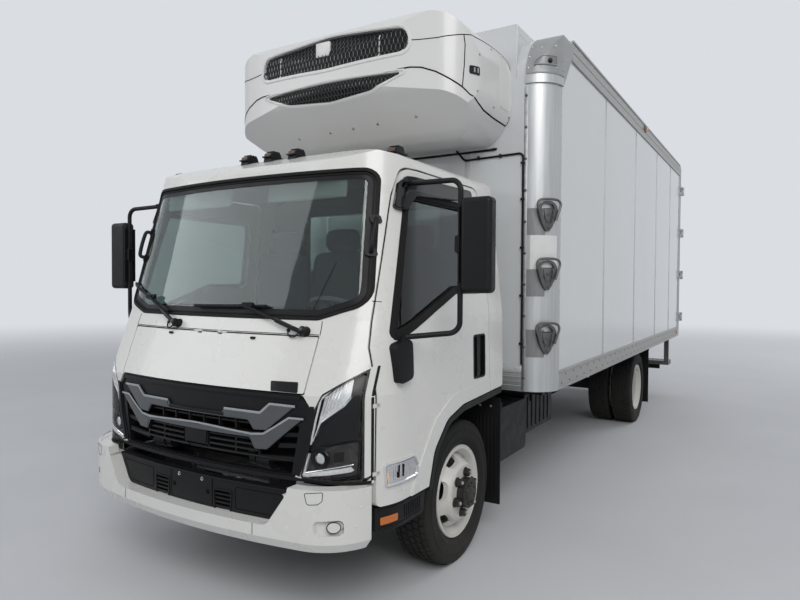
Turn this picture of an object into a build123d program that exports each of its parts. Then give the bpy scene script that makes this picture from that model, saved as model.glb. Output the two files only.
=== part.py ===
"""Refrigerated truck: a cab-over chassis with an insulated box body and a nose-mounted refrigeration unit.

Millimetres. +X is the truck's left, -Y its front, +Z up. The origin is on the ground under the middle of its length.
"""

import math
import os

from build123d import *

# Overall layout, along the truck
FRONT_OVERHANG = 1200.0
WHEELBASE = 4470.0
BODY_SETBACK = 755.0
BODY_LENGTH = 5780.0
REAR_STEP_REACH = 105.0
DOOR_GAP = 8.0
SEAT = 0.3

# Wheels and axles
TYRE_RADIUS = 405.0
TYRE_WIDTH = 226.0
RIM_RADIUS = 247.6
RIM_WIDTH = 190.0
RIM_FLANGE = 13.0
FRONT_TRACK = 1666.0
REAR_TRACK = 1651.0
DUAL_SPACING = 254.0
DISC_OFFSET = 127.0
FRONT_HUB_OUT = 44.0
REAR_HUB_OUT = 130.0
HUB_RADIUS = 84.0
LUG_CIRCLE = 222.25
LUG_COUNT = 6
LUG_RADIUS = 22.0
SPINDLE_RADIUS = 32.0
SPINDLE_GAP = 0.05
KINGPIN_X = 712.0
KINGPIN_RADIUS = 19.0
DISC_WALL = 13.0

# Chassis frame
FRAME_WIDTH = 850.0
RAIL_HEIGHT = 210.0
RAIL_FLANGE = 65.0
RAIL_WALL = 8.0
FRAME_TOP = 850.0
CROSSMEMBER_PITCH = 760.0
SPRING_WIDTH = 70.0

# Box body
BODY_WIDTH = 2438.0
BODY_BOTTOM = 880.0
BODY_TOP = 3300.0
SKIN_INSET = 7.0
WALL = 75.0
FLOOR_TOP = 1040.0
ROOF_THICKNESS = 90.0
BOTTOM_RAIL_HEIGHT = 132.0
TOP_RAIL_HEIGHT = 150.0
RAIL_THICKNESS = 6.0
POST_RADIUS = 186.0
NOSE_RADIUS = 350.0
DOOR_THICKNESS = 70.0
HINGE_OUT = 24.0
HINGE_BACK = 24.0
HINGE_RADIUS = 12.0
LOCK_ROD_RADIUS = 13.0

# Refrigeration unit
UNIT_HALF_WIDTH = 932.0
UNIT_REACH = 815.0
UNIT_BOTTOM = 2530.0
UNIT_TOP = 3245.0
MESH_DEPTH = 28.0
SPACER_HALF_WIDTH = 964.0
SPACER_RISE = 25.0

# Cab
CAB_HALF_WIDTH = 998.0
CAB_REAR = 480.0
CAB_BOTTOM = 576.0
CAB_FACE = 1105.0
CAB_WALL = 42.0
FACE_BOW = 3800.0
FACE_CORNER = 330.0
GRILLE_TOP = 1083.0
GRILLE_BOTTOM = 700.0
SCREEN_BASE = 1420.0
SCREEN_TOP = 2172.0
ROOF_CROWN = 2325.0
FLOOR_LEVEL = 905.0
CAB_FLOOR = 50.0
FLOOR_GAP = 6.0
GLASS = 5.0
GLASS_INSET = 10.0
PIVOT_Y = 985.0
PIVOT_Z = 735.0
PIVOT_RADIUS = 14.0

# Stations, worked out from the front axle
LENGTH = FRONT_OVERHANG + BODY_SETBACK + BODY_LENGTH + DOOR_GAP + DOOR_THICKNESS + REAR_STEP_REACH
FRONT_AXLE = FRONT_OVERHANG - LENGTH / 2
REAR_AXLE = FRONT_AXLE + WHEELBASE
BODY_FRONT = FRONT_AXLE + BODY_SETBACK
BODY_REAR = BODY_FRONT + BODY_LENGTH
DOOR_FRONT_FACE = BODY_REAR + DOOR_GAP
DOOR_REAR_FACE = DOOR_FRONT_FACE + DOOR_THICKNESS
STEP_REAR = DOOR_REAR_FACE + REAR_STEP_REACH
CAB_BACK = FRONT_AXLE + CAB_REAR
HALF_BODY = BODY_WIDTH / 2
HALF_SKIN = HALF_BODY - SKIN_INSET
HALF_INSIDE = HALF_SKIN - WALL
HALF_FRAME = FRAME_WIDTH / 2
FRAME_BOTTOM = FRAME_TOP - RAIL_HEIGHT


def station(y):
    """Row Y of a place given as its distance behind the front axle."""
    return FRONT_AXLE + y


def save(part, name):
    part.label = name
    export_step(part, "parts/" + name + ".step")


os.makedirs("parts", exist_ok=True)


def bowed_outline(half_width, face, corner, rear, bow):
    """Closed plan outline: bowed face, round front corners, flat sides and back."""
    bow_centre = -face + bow
    corner_x = half_width - corner
    corner_y = bow_centre - math.sqrt((bow - corner) ** 2 - corner_x**2)
    reach = bow / (bow - corner)
    joint = (corner_x * reach, bow_centre + (corner_y - bow_centre) * reach)
    middle = math.radians(45) + math.atan2(corner_x, bow_centre - corner_y) / 2
    mid = (corner_x + corner * math.sin(middle), corner_y - corner * math.cos(middle))
    with BuildSketch() as outline:
        with BuildLine():
            ThreePointArc((-joint[0], joint[1]), (0, -face), joint)
            ThreePointArc(joint, mid, (half_width, corner_y))
            Polyline((half_width, corner_y), (half_width, rear), (-half_width, rear), (-half_width, corner_y))
            ThreePointArc((-half_width, corner_y), (-mid[0], mid[1]), (-joint[0], joint[1]))
        make_face()
    return outline.sketch


def rounded_line(rows):
    """Closed line through corners: each row is a corner's two places and its radius."""
    return FilletPolyline(*[row[:2] for row in rows], radius=[row[2] for row in rows], close=True)


def prism_x(rows, x_low, x_high):
    """A prism along X: rows of distance behind the front axle, height and corner radius."""
    with BuildPart() as prism:
        with BuildSketch(Plane.YZ.offset(x_low)):
            with BuildLine():
                rounded_line([(station(y), z, radius) for y, z, radius in rows])
            make_face()
        extrude(amount=x_high - x_low)
    return prism.part


def prism_y(rows, y_low, y_high):
    """A prism along Y: rows of X, height and corner radius, between two stations."""
    with BuildPart() as prism:
        with BuildSketch(Plane.XZ.offset(-y_low)):
            with BuildLine():
                rounded_line(rows)
            make_face()
        extrude(amount=y_low - y_high)
    return prism.part


def mirrored(rows):
    """The rows of a left half, followed by the same rows on the right in reverse."""
    return list(rows) + [(-x, z, radius) for x, z, radius in reversed(rows)]


def slab(x, y, z):
    """A plain block between three pairs of limits."""
    x, y, z = sorted(x), sorted(y), sorted(z)
    with BuildPart() as block:
        with Locations(((x[0] + x[1]) / 2, (y[0] + y[1]) / 2, (z[0] + z[1]) / 2)):
            Box(x[1] - x[0], y[1] - y[0], z[1] - z[0])
    return block.part


def rod(start, end, radius):
    """A round bar between two points."""
    axis = Vector(*end) - Vector(*start)
    with BuildPart() as bar:
        with BuildSketch(Plane(origin=start, z_dir=axis)):
            Circle(radius)
        extrude(amount=axis.length)
    return bar.part


def flip(part):
    """The same piece on the other side of the truck."""
    return part.mirror(Plane.YZ)


# Load box: floor, walls, roof with its round nose, posts, caps, rails and rear frame
NOSE_FOOT = BODY_TOP - NOSE_RADIUS
POST_X = HALF_BODY - POST_RADIUS
POST_Y = BODY_FRONT + POST_RADIUS
FRAME_DEPTH = 100.0
REAR_FRAME_SIDE = 130.0
REAR_FRAME_TOP = 120.0
CAP_PROUD = 9.0
CAP_DROP = 30.0
CAP_REACH = 410.0
CAP_SHOULDER = 62.0
WALL_TOP = BODY_TOP - ROOF_THICKNESS

with BuildPart() as box_floor:
    add(slab((-HALF_INSIDE, HALF_INSIDE), (POST_Y, BODY_REAR - FRAME_DEPTH), (BODY_BOTTOM, FLOOR_TOP)))
    add(slab((-POST_X, POST_X), (BODY_FRONT + WALL, POST_Y), (BODY_BOTTOM, FLOOR_TOP)))
    with BuildSketch(Plane.XY.offset(BODY_BOTTOM)):
        for side in (1, -1):
            with Locations((side * (POST_X - 60), POST_Y)):
                Rectangle(120, 2 * (POST_RADIUS - WALL))
            with Locations((side * POST_X, POST_Y)):
                Circle(POST_RADIUS - WALL)
        with Locations((0, POST_Y + 200)):
            Rectangle(2 * BODY_WIDTH, 400, mode=Mode.SUBTRACT)
    extrude(amount=FLOOR_TOP - BODY_BOTTOM)
save(box_floor.part, "box_floor")

with BuildPart() as front_wall:
    add(slab((-POST_X, POST_X), (BODY_FRONT, BODY_FRONT + WALL), (BODY_BOTTOM, NOSE_FOOT)))
save(front_wall.part, "front_wall")

for side, name in ((1, "left_wall"), (-1, "right_wall")):
    with BuildPart() as side_wall:
        x = sorted((side * HALF_INSIDE, side * HALF_SKIN))
        add(slab(x, (POST_Y, BODY_REAR - FRAME_DEPTH), (BODY_BOTTOM, WALL_TOP)))
        with BuildSketch(Plane.YZ.offset(x[0] - 10)):
            with BuildLine():
                Polyline((POST_Y, NOSE_FOOT - CAP_DROP), (BODY_FRONT + CAP_REACH, WALL_TOP), (POST_Y, WALL_TOP), close=True)
            make_face()
        extrude(amount=WALL + 20, mode=Mode.SUBTRACT)
    save(side_wall.part, name)

with BuildPart() as box_roof:
    with BuildSketch(Plane.YZ.offset(-HALF_SKIN)):
        roof_top = BODY_TOP - RAIL_THICKNESS
        outer = NOSE_RADIUS
        with BuildLine():
            Line((BODY_FRONT, NOSE_FOOT), (BODY_FRONT + WALL, NOSE_FOOT))
            RadiusArc((BODY_FRONT + WALL, NOSE_FOOT), (BODY_FRONT + outer, BODY_TOP - WALL), outer - WALL)
            Line((BODY_FRONT + outer, BODY_TOP - WALL), (BODY_FRONT + outer, WALL_TOP))
            Line((BODY_FRONT + outer, WALL_TOP), (BODY_REAR - FRAME_DEPTH, WALL_TOP))
            Line((BODY_REAR - FRAME_DEPTH, WALL_TOP), (BODY_REAR - FRAME_DEPTH, BODY_TOP))
            Line((BODY_REAR - FRAME_DEPTH, BODY_TOP), (BODY_FRONT + outer, BODY_TOP))
            RadiusArc((BODY_FRONT + outer, BODY_TOP), (BODY_FRONT, NOSE_FOOT), -outer)
        make_face()
    extrude(amount=2 * HALF_SKIN)
    for side in (1, -1):
        x = sorted((side * POST_X, side * (HALF_SKIN + 1)))
        add(slab(x, (BODY_FRONT - 1, BODY_FRONT + CAP_REACH), (NOSE_FOOT - 1, BODY_TOP + 1)), mode=Mode.SUBTRACT)
save(box_roof.part, "box_roof")

with BuildPart() as corner_posts:
    with BuildSketch(Plane.XY.offset(BODY_BOTTOM)):
        for side in (1, -1):
            with BuildLine():
                CenterArc((side * POST_X, POST_Y), POST_RADIUS, 270 if side > 0 else 180, 90)
                CenterArc((side * POST_X, POST_Y), POST_RADIUS - WALL, 270 if side > 0 else 180, 90)
                Line((side * POST_X, BODY_FRONT), (side * POST_X, BODY_FRONT + WALL))
                Line((side * HALF_BODY, POST_Y), (side * (HALF_BODY - WALL), POST_Y))
            make_face()
    extrude(amount=NOSE_FOOT - CAP_DROP - BODY_BOTTOM)
save(corner_posts.part, "corner_posts")

with BuildPart() as corner_caps:
    with BuildSketch(Plane.YZ.offset(-HALF_BODY - CAP_PROUD)):
        low = NOSE_FOOT - CAP_DROP
        nose = BODY_FRONT - CAP_PROUD
        back = BODY_FRONT + CAP_REACH
        top = BODY_TOP
        with BuildLine():
            Polyline((nose, top - NOSE_RADIUS), (nose, low), (POST_Y, low), (back, WALL_TOP), (back, top), (nose + NOSE_RADIUS, top))
            RadiusArc((nose + NOSE_RADIUS, top), (nose, top - NOSE_RADIUS), -NOSE_RADIUS)
        make_face()
    extrude(amount=2 * (HALF_BODY + CAP_PROUD))
    with BuildSketch(Plane.XY.offset(low - 10)):
        half = HALF_BODY + CAP_PROUD
        round_y = BODY_FRONT - CAP_PROUD + POST_RADIUS
        round_x = half - POST_RADIUS
        with BuildLine():
            Line((-round_x, BODY_FRONT - CAP_PROUD), (round_x, BODY_FRONT - CAP_PROUD))
            CenterArc((round_x, round_y), POST_RADIUS, 270, 90)
            Line((half, round_y), (half, back + 10))
            Line((half, back + 10), (-half, back + 10))
            Line((-half, back + 10), (-half, round_y))
            CenterArc((-round_x, round_y), POST_RADIUS, 180, 90)
        make_face()
    extrude(amount=BODY_TOP - low + 20, mode=Mode.INTERSECT)
    shoulders = ((-half, low - 10, 0), (-half, top, CAP_SHOULDER), (half, top, CAP_SHOULDER), (half, low - 10, 0))
    add(prism_y(shoulders, nose - 10, back + 10), mode=Mode.INTERSECT)
    add(slab((-POST_X, POST_X), (nose - 1, back + 1), (low - 1, top + 1)), mode=Mode.SUBTRACT)
save(corner_caps.part, "corner_caps")

with BuildPart() as box_rails:
    for side in (1, -1):
        x = sorted((side * HALF_SKIN, side * HALF_BODY))
        y = (POST_Y, BODY_REAR - FRAME_DEPTH)
        add(slab(x, y, (BODY_BOTTOM, BODY_BOTTOM + BOTTOM_RAIL_HEIGHT)))
        y = (BODY_FRONT + CAP_REACH, BODY_REAR - FRAME_DEPTH)
        add(slab(x, y, (BODY_TOP - TOP_RAIL_HEIGHT, BODY_TOP)))
save(box_rails.part, "box_rails")

# Rear hinges: barrel of the door between two barrels of the frame, on one pin
HINGE_X = HALF_BODY + HINGE_OUT
HINGE_Y = DOOR_REAR_FACE + HINGE_BACK
HINGE_BARREL = 60.0
HINGE_PIN = 6.0
HINGE_HEIGHTS = (1150.0, 1750.0, 2350.0, 2950.0)
HINGE_PLATE = 12.0
with BuildPart() as rear_frame:
    add(slab((-HALF_BODY, HALF_BODY), (BODY_REAR - FRAME_DEPTH, BODY_REAR), (BODY_BOTTOM, BODY_TOP)))
    inside = HALF_BODY - REAR_FRAME_SIDE
    opening = slab((-inside, inside), (BODY_REAR - FRAME_DEPTH, BODY_REAR), (FLOOR_TOP, BODY_TOP - REAR_FRAME_TOP))
    add(opening, mode=Mode.SUBTRACT)
    for side in (1, -1):
        for height in HINGE_HEIGHTS:
            for low in (height - HINGE_BARREL, height + HINGE_BARREL / 2 + 0.5):
                high = low + HINGE_BARREL / 2 - 0.5
                x = sorted((side * HALF_BODY, side * (HINGE_X - HINGE_RADIUS + 3)))
                add(slab(x, (BODY_REAR - 80, HINGE_Y + HINGE_RADIUS), (low, high)))
                with BuildSketch(Plane.XY.offset(low)):
                    with Locations((side * HINGE_X, HINGE_Y)):
                        Circle(HINGE_RADIUS)
                extrude(amount=high - low)
            with BuildSketch(Plane.XY.offset(height - HINGE_BARREL)):
                with Locations((side * HINGE_X, HINGE_Y)):
                    Circle(HINGE_PIN)
            extrude(amount=2 * HINGE_BARREL)
save(rear_frame.part, "rear_frame")

# Rear doors: panel with an inner plug, door side of the hinges, lock rods with handles
DOOR_MIDDLE = 4.0
DOOR_EDGE = 12.0
DOOR_LOW = BODY_BOTTOM + 20
DOOR_HIGH = BODY_TOP - 20
PLUG_GAP = 20.0
PLUG_DEPTH = 60.0
ROD_STATIONS = (300.0, 780.0)
ROD_OUT = 21.0
for side, name in ((1, "left"), (-1, "right")):
    with BuildPart() as rear_door:
        x = sorted((side * DOOR_MIDDLE, side * (HALF_BODY - DOOR_EDGE)))
        add(slab(x, (DOOR_FRONT_FACE, DOOR_REAR_FACE), (DOOR_LOW, DOOR_HIGH)))
        x = sorted((side * (DOOR_MIDDLE + PLUG_GAP), side * (HALF_BODY - REAR_FRAME_SIDE - PLUG_GAP)))
        z = (FLOOR_TOP + PLUG_GAP, BODY_TOP - REAR_FRAME_TOP - PLUG_GAP)
        add(slab(x, (DOOR_FRONT_FACE - PLUG_DEPTH, DOOR_FRONT_FACE), z))
        for height in HINGE_HEIGHTS:
            low = height - HINGE_BARREL / 2 + 0.5
            high = height + HINGE_BARREL / 2 - 0.5
            x = sorted((side * (HALF_BODY - 240), side * HINGE_X))
            add(slab(x, (DOOR_REAR_FACE, DOOR_REAR_FACE + HINGE_BACK - HINGE_RADIUS + 3), (low, high)))
            with BuildSketch(Plane.XY.offset(low)):
                with Locations((side * HINGE_X, HINGE_Y)):
                    Circle(HINGE_RADIUS)
            extrude(amount=high - low)
            with BuildSketch(Plane.XY.offset(low)):
                with Locations((side * HINGE_X, HINGE_Y)):
                    Circle(HINGE_PIN + SPINDLE_GAP)
            extrude(amount=high - low, mode=Mode.SUBTRACT)
    save(rear_door.part, "rear_door_" + name)

    with BuildPart() as lock_rods:
        for rod_x in ROD_STATIONS:
            with BuildSketch(Plane.XY.offset(DOOR_LOW - 10)):
                with Locations((side * rod_x, DOOR_REAR_FACE + ROD_OUT)):
                    Circle(LOCK_ROD_RADIUS)
            extrude(amount=DOOR_HIGH - DOOR_LOW + 20)
            for height in (DOOR_LOW + 40, 1450.0, 2150.0, DOOR_HIGH - 100):
                x = sorted((side * rod_x - 32, side * rod_x + 32))
                add(slab(x, (DOOR_REAR_FACE, DOOR_REAR_FACE + 12), (height, height + 60)))
            x = sorted((side * rod_x, side * (rod_x + 260)))
            add(slab(x, (DOOR_REAR_FACE + ROD_OUT - 8, DOOR_REAR_FACE + ROD_OUT + 8), (1290, 1322)))
            add(slab((side * rod_x + side * 245 - 20, side * rod_x + side * 245 + 20), (DOOR_REAR_FACE, DOOR_REAR_FACE + ROD_OUT), (1280, 1332)))
    save(lock_rods.part, "lock_rods_" + name)


# Refrigeration unit on the front wall: upper shell, belly, meshes and the spacer behind it
UNIT_FRONT = BODY_SETBACK - UNIT_REACH
UNIT_BOW = 3200.0
UNIT_CORNER = 240.0
BELLY_FOOT = 360.0
BELLY_SHOULDER = 2700.0
BELLY_TUCK = 130.0


def unit_form(inset):
    """Closed outer form of the unit, drawn in by an inset on every side but its back."""
    front = UNIT_FRONT + inset
    back = BODY_SETBACK
    top = UNIT_TOP - inset
    bottom = UNIT_BOTTOM + inset
    wide = UNIT_HALF_WIDTH - inset
    side_rows = (
        (back, top, 0), (front + 90, top, 170), (front - 6, top - 196, 120), (front - 6, 2830, 110),
        (front + 50, 2760, 180), (BELLY_FOOT, bottom, 260), (back, bottom, 0),
    )
    face_rows = (
        (0, top, 0), (wide - 330, top - 22, 600), (wide - 46, top - 84, 190), (wide, top - 260, 120),
        (wide, BELLY_SHOULDER, 230), (wide - BELLY_TUCK, bottom, 180), (0, bottom, 0),
    )
    with BuildPart() as form:
        add(prism_x(side_rows, -wide - 50, wide + 50))
        with BuildSketch(Plane.XY.offset(bottom - 50)):
            with Locations((0, FRONT_AXLE)):
                add(bowed_outline(wide, -front, UNIT_CORNER - inset / 2, back, UNIT_BOW))
        extrude(amount=top - bottom + 100, mode=Mode.INTERSECT)
        half = face_rows[1:-1]
        rows = list(half) + [(-x, z, radius) for x, z, radius in reversed(half)]
        add(prism_y(rows, station(front) - 10, station(back)), mode=Mode.INTERSECT)
    return form.part


unit_outer = unit_form(0)
# Rows: distance behind the front axle, height, radius
BELLY_ROWS = (
    (-300, 2868, 0), (-50, 2868, 60), (70, 2740, 120), (330, UNIT_BOTTOM + 122, 160),
    (BODY_SETBACK + 50, UNIT_BOTTOM + 122, 0), (BODY_SETBACK + 50, 2400, 0), (-300, 2400, 0),
)
MESH_ROWS = ((-600, 2985, 70), (-560, 3120, 70), (0, 3180, 900), (560, 3120, 70), (600, 2985, 70), (0, 2955, 1500))
SLIVER_ROWS = ((-560, 2862, 8), (0, 2868, 900), (560, 2862, 8), (330, 2780, 200), (0, 2760, 500), (-330, 2780, 200))
mesh_zone = prism_y(MESH_ROWS, station(UNIT_FRONT - 30), station(UNIT_FRONT + 160))
sliver_zone = prism_y(SLIVER_ROWS, station(UNIT_FRONT - 30), station(UNIT_FRONT + 160))
belly_zone = prism_x(BELLY_ROWS, -1000, 1000)
recess = unit_form(MESH_DEPTH)
with BuildPart() as unit_recesses:
    add(mesh_zone)
    add(sliver_zone)
    add(recess, mode=Mode.SUBTRACT)
with BuildPart() as unit_shell:
    add(unit_outer)
    add(belly_zone, mode=Mode.SUBTRACT)
    add(unit_recesses.part, mode=Mode.SUBTRACT)
save(unit_shell.part, "unit_shell")
with BuildPart() as unit_belly:
    add(unit_outer)
    add(belly_zone, mode=Mode.INTERSECT)
    add(unit_recesses.part, mode=Mode.SUBTRACT)
save(unit_belly.part, "unit_belly")
MESH_PLATE = 8.0
with BuildPart() as unit_meshes:
    add(mesh_zone)
    add(sliver_zone)
    add(unit_form(MESH_DEPTH - MESH_PLATE), mode=Mode.INTERSECT)
    add(recess, mode=Mode.SUBTRACT)
save(unit_meshes.part, "unit_meshes")

SPACER_FOOT = NOSE_FOOT + 20
with BuildPart() as unit_spacer:
    rows = (
        (BODY_SETBACK, SPACER_FOOT, 0), (BODY_SETBACK, BODY_TOP + SPACER_RISE, 0),
        (BODY_SETBACK + 380, BODY_TOP + SPACER_RISE, 0), (BODY_SETBACK + 380, SPACER_FOOT, 0),
    )
    add(prism_x(rows, -SPACER_HALF_WIDTH, SPACER_HALF_WIDTH))
    with BuildSketch(Plane.YZ.offset(-SPACER_HALF_WIDTH - 10)):
        with BuildLine():
            Line((BODY_FRONT, NOSE_FOOT), (BODY_FRONT, 2500))
            Line((BODY_FRONT, 2500), (BODY_FRONT + 600, 2500))
            Line((BODY_FRONT + 600, 2500), (BODY_FRONT + 600, BODY_TOP))
            Line((BODY_FRONT + 600, BODY_TOP), (BODY_FRONT + NOSE_RADIUS, BODY_TOP))
            RadiusArc((BODY_FRONT + NOSE_RADIUS, BODY_TOP), (BODY_FRONT, NOSE_FOOT), -NOSE_RADIUS)
        make_face()
    extrude(amount=2 * SPACER_HALF_WIDTH + 20, mode=Mode.SUBTRACT)
save(unit_spacer.part, "unit_spacer")

# Cab form: one bowed outline at each height, lofted, under a crowned roof
# Columns: height, half width, distance of the face ahead of the axle, corner radius
CAB_LEVELS = (
    (400.0, CAB_HALF_WIDTH, CAB_FACE, FACE_CORNER),
    (GRILLE_TOP, CAB_HALF_WIDTH, CAB_FACE, FACE_CORNER),
    (SCREEN_BASE, CAB_HALF_WIDTH - 6, CAB_FACE - 130, FACE_CORNER - 10),
    (SCREEN_TOP, CAB_HALF_WIDTH - 92, CAB_FACE - 320, FACE_CORNER - 40),
    (ROOF_CROWN + 60, CAB_HALF_WIDTH - 117, CAB_FACE - 374, FACE_CORNER - 50),
)


cab_forms = {}


def cab_form(inset):
    """The cab's closed outer form, drawn in by an inset on every side but the bottom."""
    if inset in cab_forms:
        return cab_forms[inset]
    with BuildPart() as form:
        for height, half_width, face, corner in CAB_LEVELS:
            with BuildSketch(Plane.XY.offset(height)):
                with Locations((0, FRONT_AXLE)):
                    add(bowed_outline(half_width - inset, face - inset, corner - inset / 2, CAB_REAR - inset, FACE_BOW))
        loft(ruled=True)
        crown = ROOF_CROWN - inset
        wide = CAB_HALF_WIDTH + 60
        shoulder = CAB_HALF_WIDTH - 92 - inset
        rows = (
            (wide, 300, 0), (wide, crown - 180, 0), (shoulder + 8, crown - 180, 0), (shoulder - 16, crown - 95, 60),
            (shoulder - 206, crown - 48, 400), (0, crown + 6, 3000),
            (-shoulder + 206, crown - 48, 400), (-shoulder + 16, crown - 95, 60), (-shoulder - 8, crown - 180, 0),
            (-wide, crown - 180, 0), (-wide, 300, 0),
        )
        add(prism_y(rows, station(-1500), station(CAB_REAR + 60)), mode=Mode.INTERSECT)
        rows = (
            (-1500, 300, 0), (CAB_REAR + 50, 300, 0), (CAB_REAR + 50, crown - 220, 0), (CAB_REAR - inset, crown - 220, 0),
            (CAB_REAR - inset, crown - 40, 110), (-120, crown + 12, 2000), (-520 + inset, crown - 20, 400),
            (-740 + inset, crown - 110, 90), (-770 + inset, crown - 180, 0), (-1500, crown - 180, 0),
        )
        add(prism_x(rows, -wide, wide), mode=Mode.INTERSECT)
    cab_forms[inset] = form.part
    return form.part


cab_outer = cab_form(0)


cab_skins = {}


def skin(outer_inset, inner_inset):
    """The layer of the cab's form between two insets."""
    key = (outer_inset, inner_inset)
    if key not in cab_skins:
        with BuildPart() as layer:
            add(cab_form(outer_inset))
            add(cab_form(inner_inset), mode=Mode.SUBTRACT)
        cab_skins[key] = layer.part
    return cab_skins[key]


def cut(part, *zones):
    """What a piece keeps outside the zones."""
    with BuildPart() as piece:
        add(part)
        for zone in zones:
            add(zone, mode=Mode.SUBTRACT)
    return piece.part


def keep(part, *zones):
    """What a piece keeps inside every zone."""
    with BuildPart() as piece:
        add(part)
        for zone in zones:
            add(zone, mode=Mode.INTERSECT)
    return piece.part


# Outlines on the cab, seen from the side: distance behind the front axle, height, radius
DOOR_SEAM = 9.0
DOOR_REAR = 268.0
DOOR_TOP = 2165.0
# Columns: distance behind the axle, height, radius, and which way the corner moves as the arch shrinks
ARCH = (
    (-500, 300, 0, 1, 0), (-495, 560, 0, 1, 0), (-435, 745, 150, 0.88, -0.4), (-290, 880, 160, 0.5, -0.8),
    (-100, 930, 250, 0.15, -0.98), (CAB_REAR + 20, 962, 0, 0, -1), (CAB_REAR + 20, 300, 0, 0, 0),
)
DOOR_ROWS = (
    (-884, CAB_BOTTOM, 25), (-880, 1090, 0), (-862, 1300, 0), (-640, 2020, 60), (-560, DOOR_TOP, 60),
    (DOOR_REAR, DOOR_TOP, 70), (DOOR_REAR, CAB_BOTTOM, 0),
)
GAP_ROWS = (
    (-884 - DOOR_SEAM, CAB_BOTTOM - 60, 0), (-880 - DOOR_SEAM, 1090, 0), (-862 - DOOR_SEAM, 1300, 0),
    (-640 - DOOR_SEAM, 2020, 69), (-566 - DOOR_SEAM, DOOR_TOP + DOOR_SEAM, 69),
    (DOOR_REAR + DOOR_SEAM, DOOR_TOP + DOOR_SEAM, 79), (DOOR_REAR + DOOR_SEAM, CAB_BOTTOM - 60, 0),
)
WINDOW_ROWS = (
    (-772, 1330, 20), (-560, 2040, 60), (DOOR_REAR - 90, 2040, 60), (DOOR_REAR - 90, 1560, 50), (-150, 1560, 60),
)
FLARE_PROUD = 8.0
FLARE_ROWS = (
    (-672, 540, 0), (-655, 600, 60), (-550, 740, 120), (-420, 900, 160), (-200, 1002, 260), (CAB_REAR - 30, 1016, 0),
    (CAB_REAR - 30, 540, 0),
)
# Outlines on the cab, seen from the front: X, height, radius
SCREEN_ROWS = mirrored(((640, 1425, 90), (872, 1500, 90), (812, 2152, 70)))
SCREEN_ROWS = SCREEN_ROWS[2::-1] + SCREEN_ROWS[:2:-1]
LAMP_ROWS = ((749, 1094, 15), (935, 1222, 15), (935, 702, 25), (800, 698, 30), (640, 704, 10), (685, 860, 60), (708, 1015, 20))
GRILLE_HALF = ((0, GRILLE_TOP, 0), (655, GRILLE_TOP, 20), (698, 1022, 20), (676, 862, 60), (615, GRILLE_BOTTOM, 15))
GRILLE_ROWS = list(GRILLE_HALF[1:]) + [(-x, z, radius) for x, z, radius in reversed(GRILLE_HALF[1:])]
LID_TOP = 1341.0
LID_GAP = 7.0
LID_WALL = 30.0
FACE_AREA = (station(-1300), station(-560))


def arch_rows(shrink):
    """Rows of the wheel arch, drawn in all round."""
    return [(y + shrink * dy, z + shrink * dz, radius) for y, z, radius, dy, dz in ARCH]


def scaled_rows(rows, grow):
    """Rows of a front outline moved away from X = 0 and from its middle height."""
    low = min(z for _, z, _ in rows)
    high = max(z for _, z, _ in rows)
    middle = (low + high) / 2
    return [(x + math.copysign(grow, x), z + math.copysign(grow, z - middle), radius) for x, z, radius in rows]


cab_inner = cab_form(CAB_WALL)
door_zone_left = prism_x(DOOR_ROWS, 560, CAB_HALF_WIDTH + 10)
door_gap_left = prism_x(GAP_ROWS, 560, CAB_HALF_WIDTH + 10)
window_left = prism_x(WINDOW_ROWS, 560, CAB_HALF_WIDTH + 10)
arch_left = prism_x(arch_rows(0), 600, CAB_HALF_WIDTH + 10)
lamp_left = prism_y(LAMP_ROWS, *FACE_AREA)
screen_zone = prism_y(SCREEN_ROWS, *FACE_AREA)
grille_zone = prism_y(GRILLE_ROWS, *FACE_AREA)
flare_left = cut(prism_x(FLARE_ROWS, 860, CAB_HALF_WIDTH + 40), arch_left)
lid_rows = mirrored(((655, GRILLE_TOP + LID_GAP, 8), (662, LID_TOP, 8)))
lid_rows = lid_rows[1::-1] + lid_rows[:1:-1]
lid_zone = prism_y(lid_rows, station(-1300), station(-800))
lid_gap = prism_y(scaled_rows(lid_rows, LID_GAP), station(-1300), station(-800))

# Hinges of doors and lid, cab pivot arms and seat stand
SEAT_TOP = 1250.0
SEAT_STAND_ROWS = (
    (-310, FLOOR_LEVEL + 10, 0), (-310, SEAT_TOP - 190, 20), (250, SEAT_TOP - 190, 20), (250, FLOOR_LEVEL + 10, 0),
)
CAB_ARM_ROWS = (
    (-PIVOT_Y - 34, PIVOT_Z, 0), (-PIVOT_Y - 34, 810, 30), (-930, 930, 0), (-860, 930, 0), (-PIVOT_Y + 34, PIVOT_Z, 0),
)
CAB_EYE = 34.0
DOOR_AXIS_X = 942.0
DOOR_AXIS_Y = station(-880)
DOOR_PIN = 3.0
DOOR_HINGE_HEIGHTS = (730.0, 1040.0)
HINGE_HALF = 10.0
LID_AXIS_Y = station(-1003.5)
LID_AXIS_Z = LID_TOP + LID_GAP / 2
LID_PIN = 1.6
LID_HINGES = ((60.0, 120.0),)


def hinge_lug(height):
    """The cab's half of a door hinge: a lug reaching back over the seam, with its pin."""
    with BuildPart() as lug:
        add(slab((DOOR_AXIS_X - 14, DOOR_AXIS_X + 3), (DOOR_AXIS_Y - 20, DOOR_AXIS_Y), (height - HINGE_HALF + 1, height + HINGE_HALF - 1)))
        with BuildSketch(Plane.XY.offset(height - HINGE_HALF + 1)):
            with Locations((DOOR_AXIS_X, DOOR_AXIS_Y)):
                Circle(7)
        extrude(amount=2 * HINGE_HALF - 2)
        with BuildSketch(Plane.XY.offset(height - 3 * HINGE_HALF)):
            with Locations((DOOR_AXIS_X, DOOR_AXIS_Y)):
                Circle(DOOR_PIN)
        extrude(amount=6 * HINGE_HALF)
    return lug.part


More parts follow.
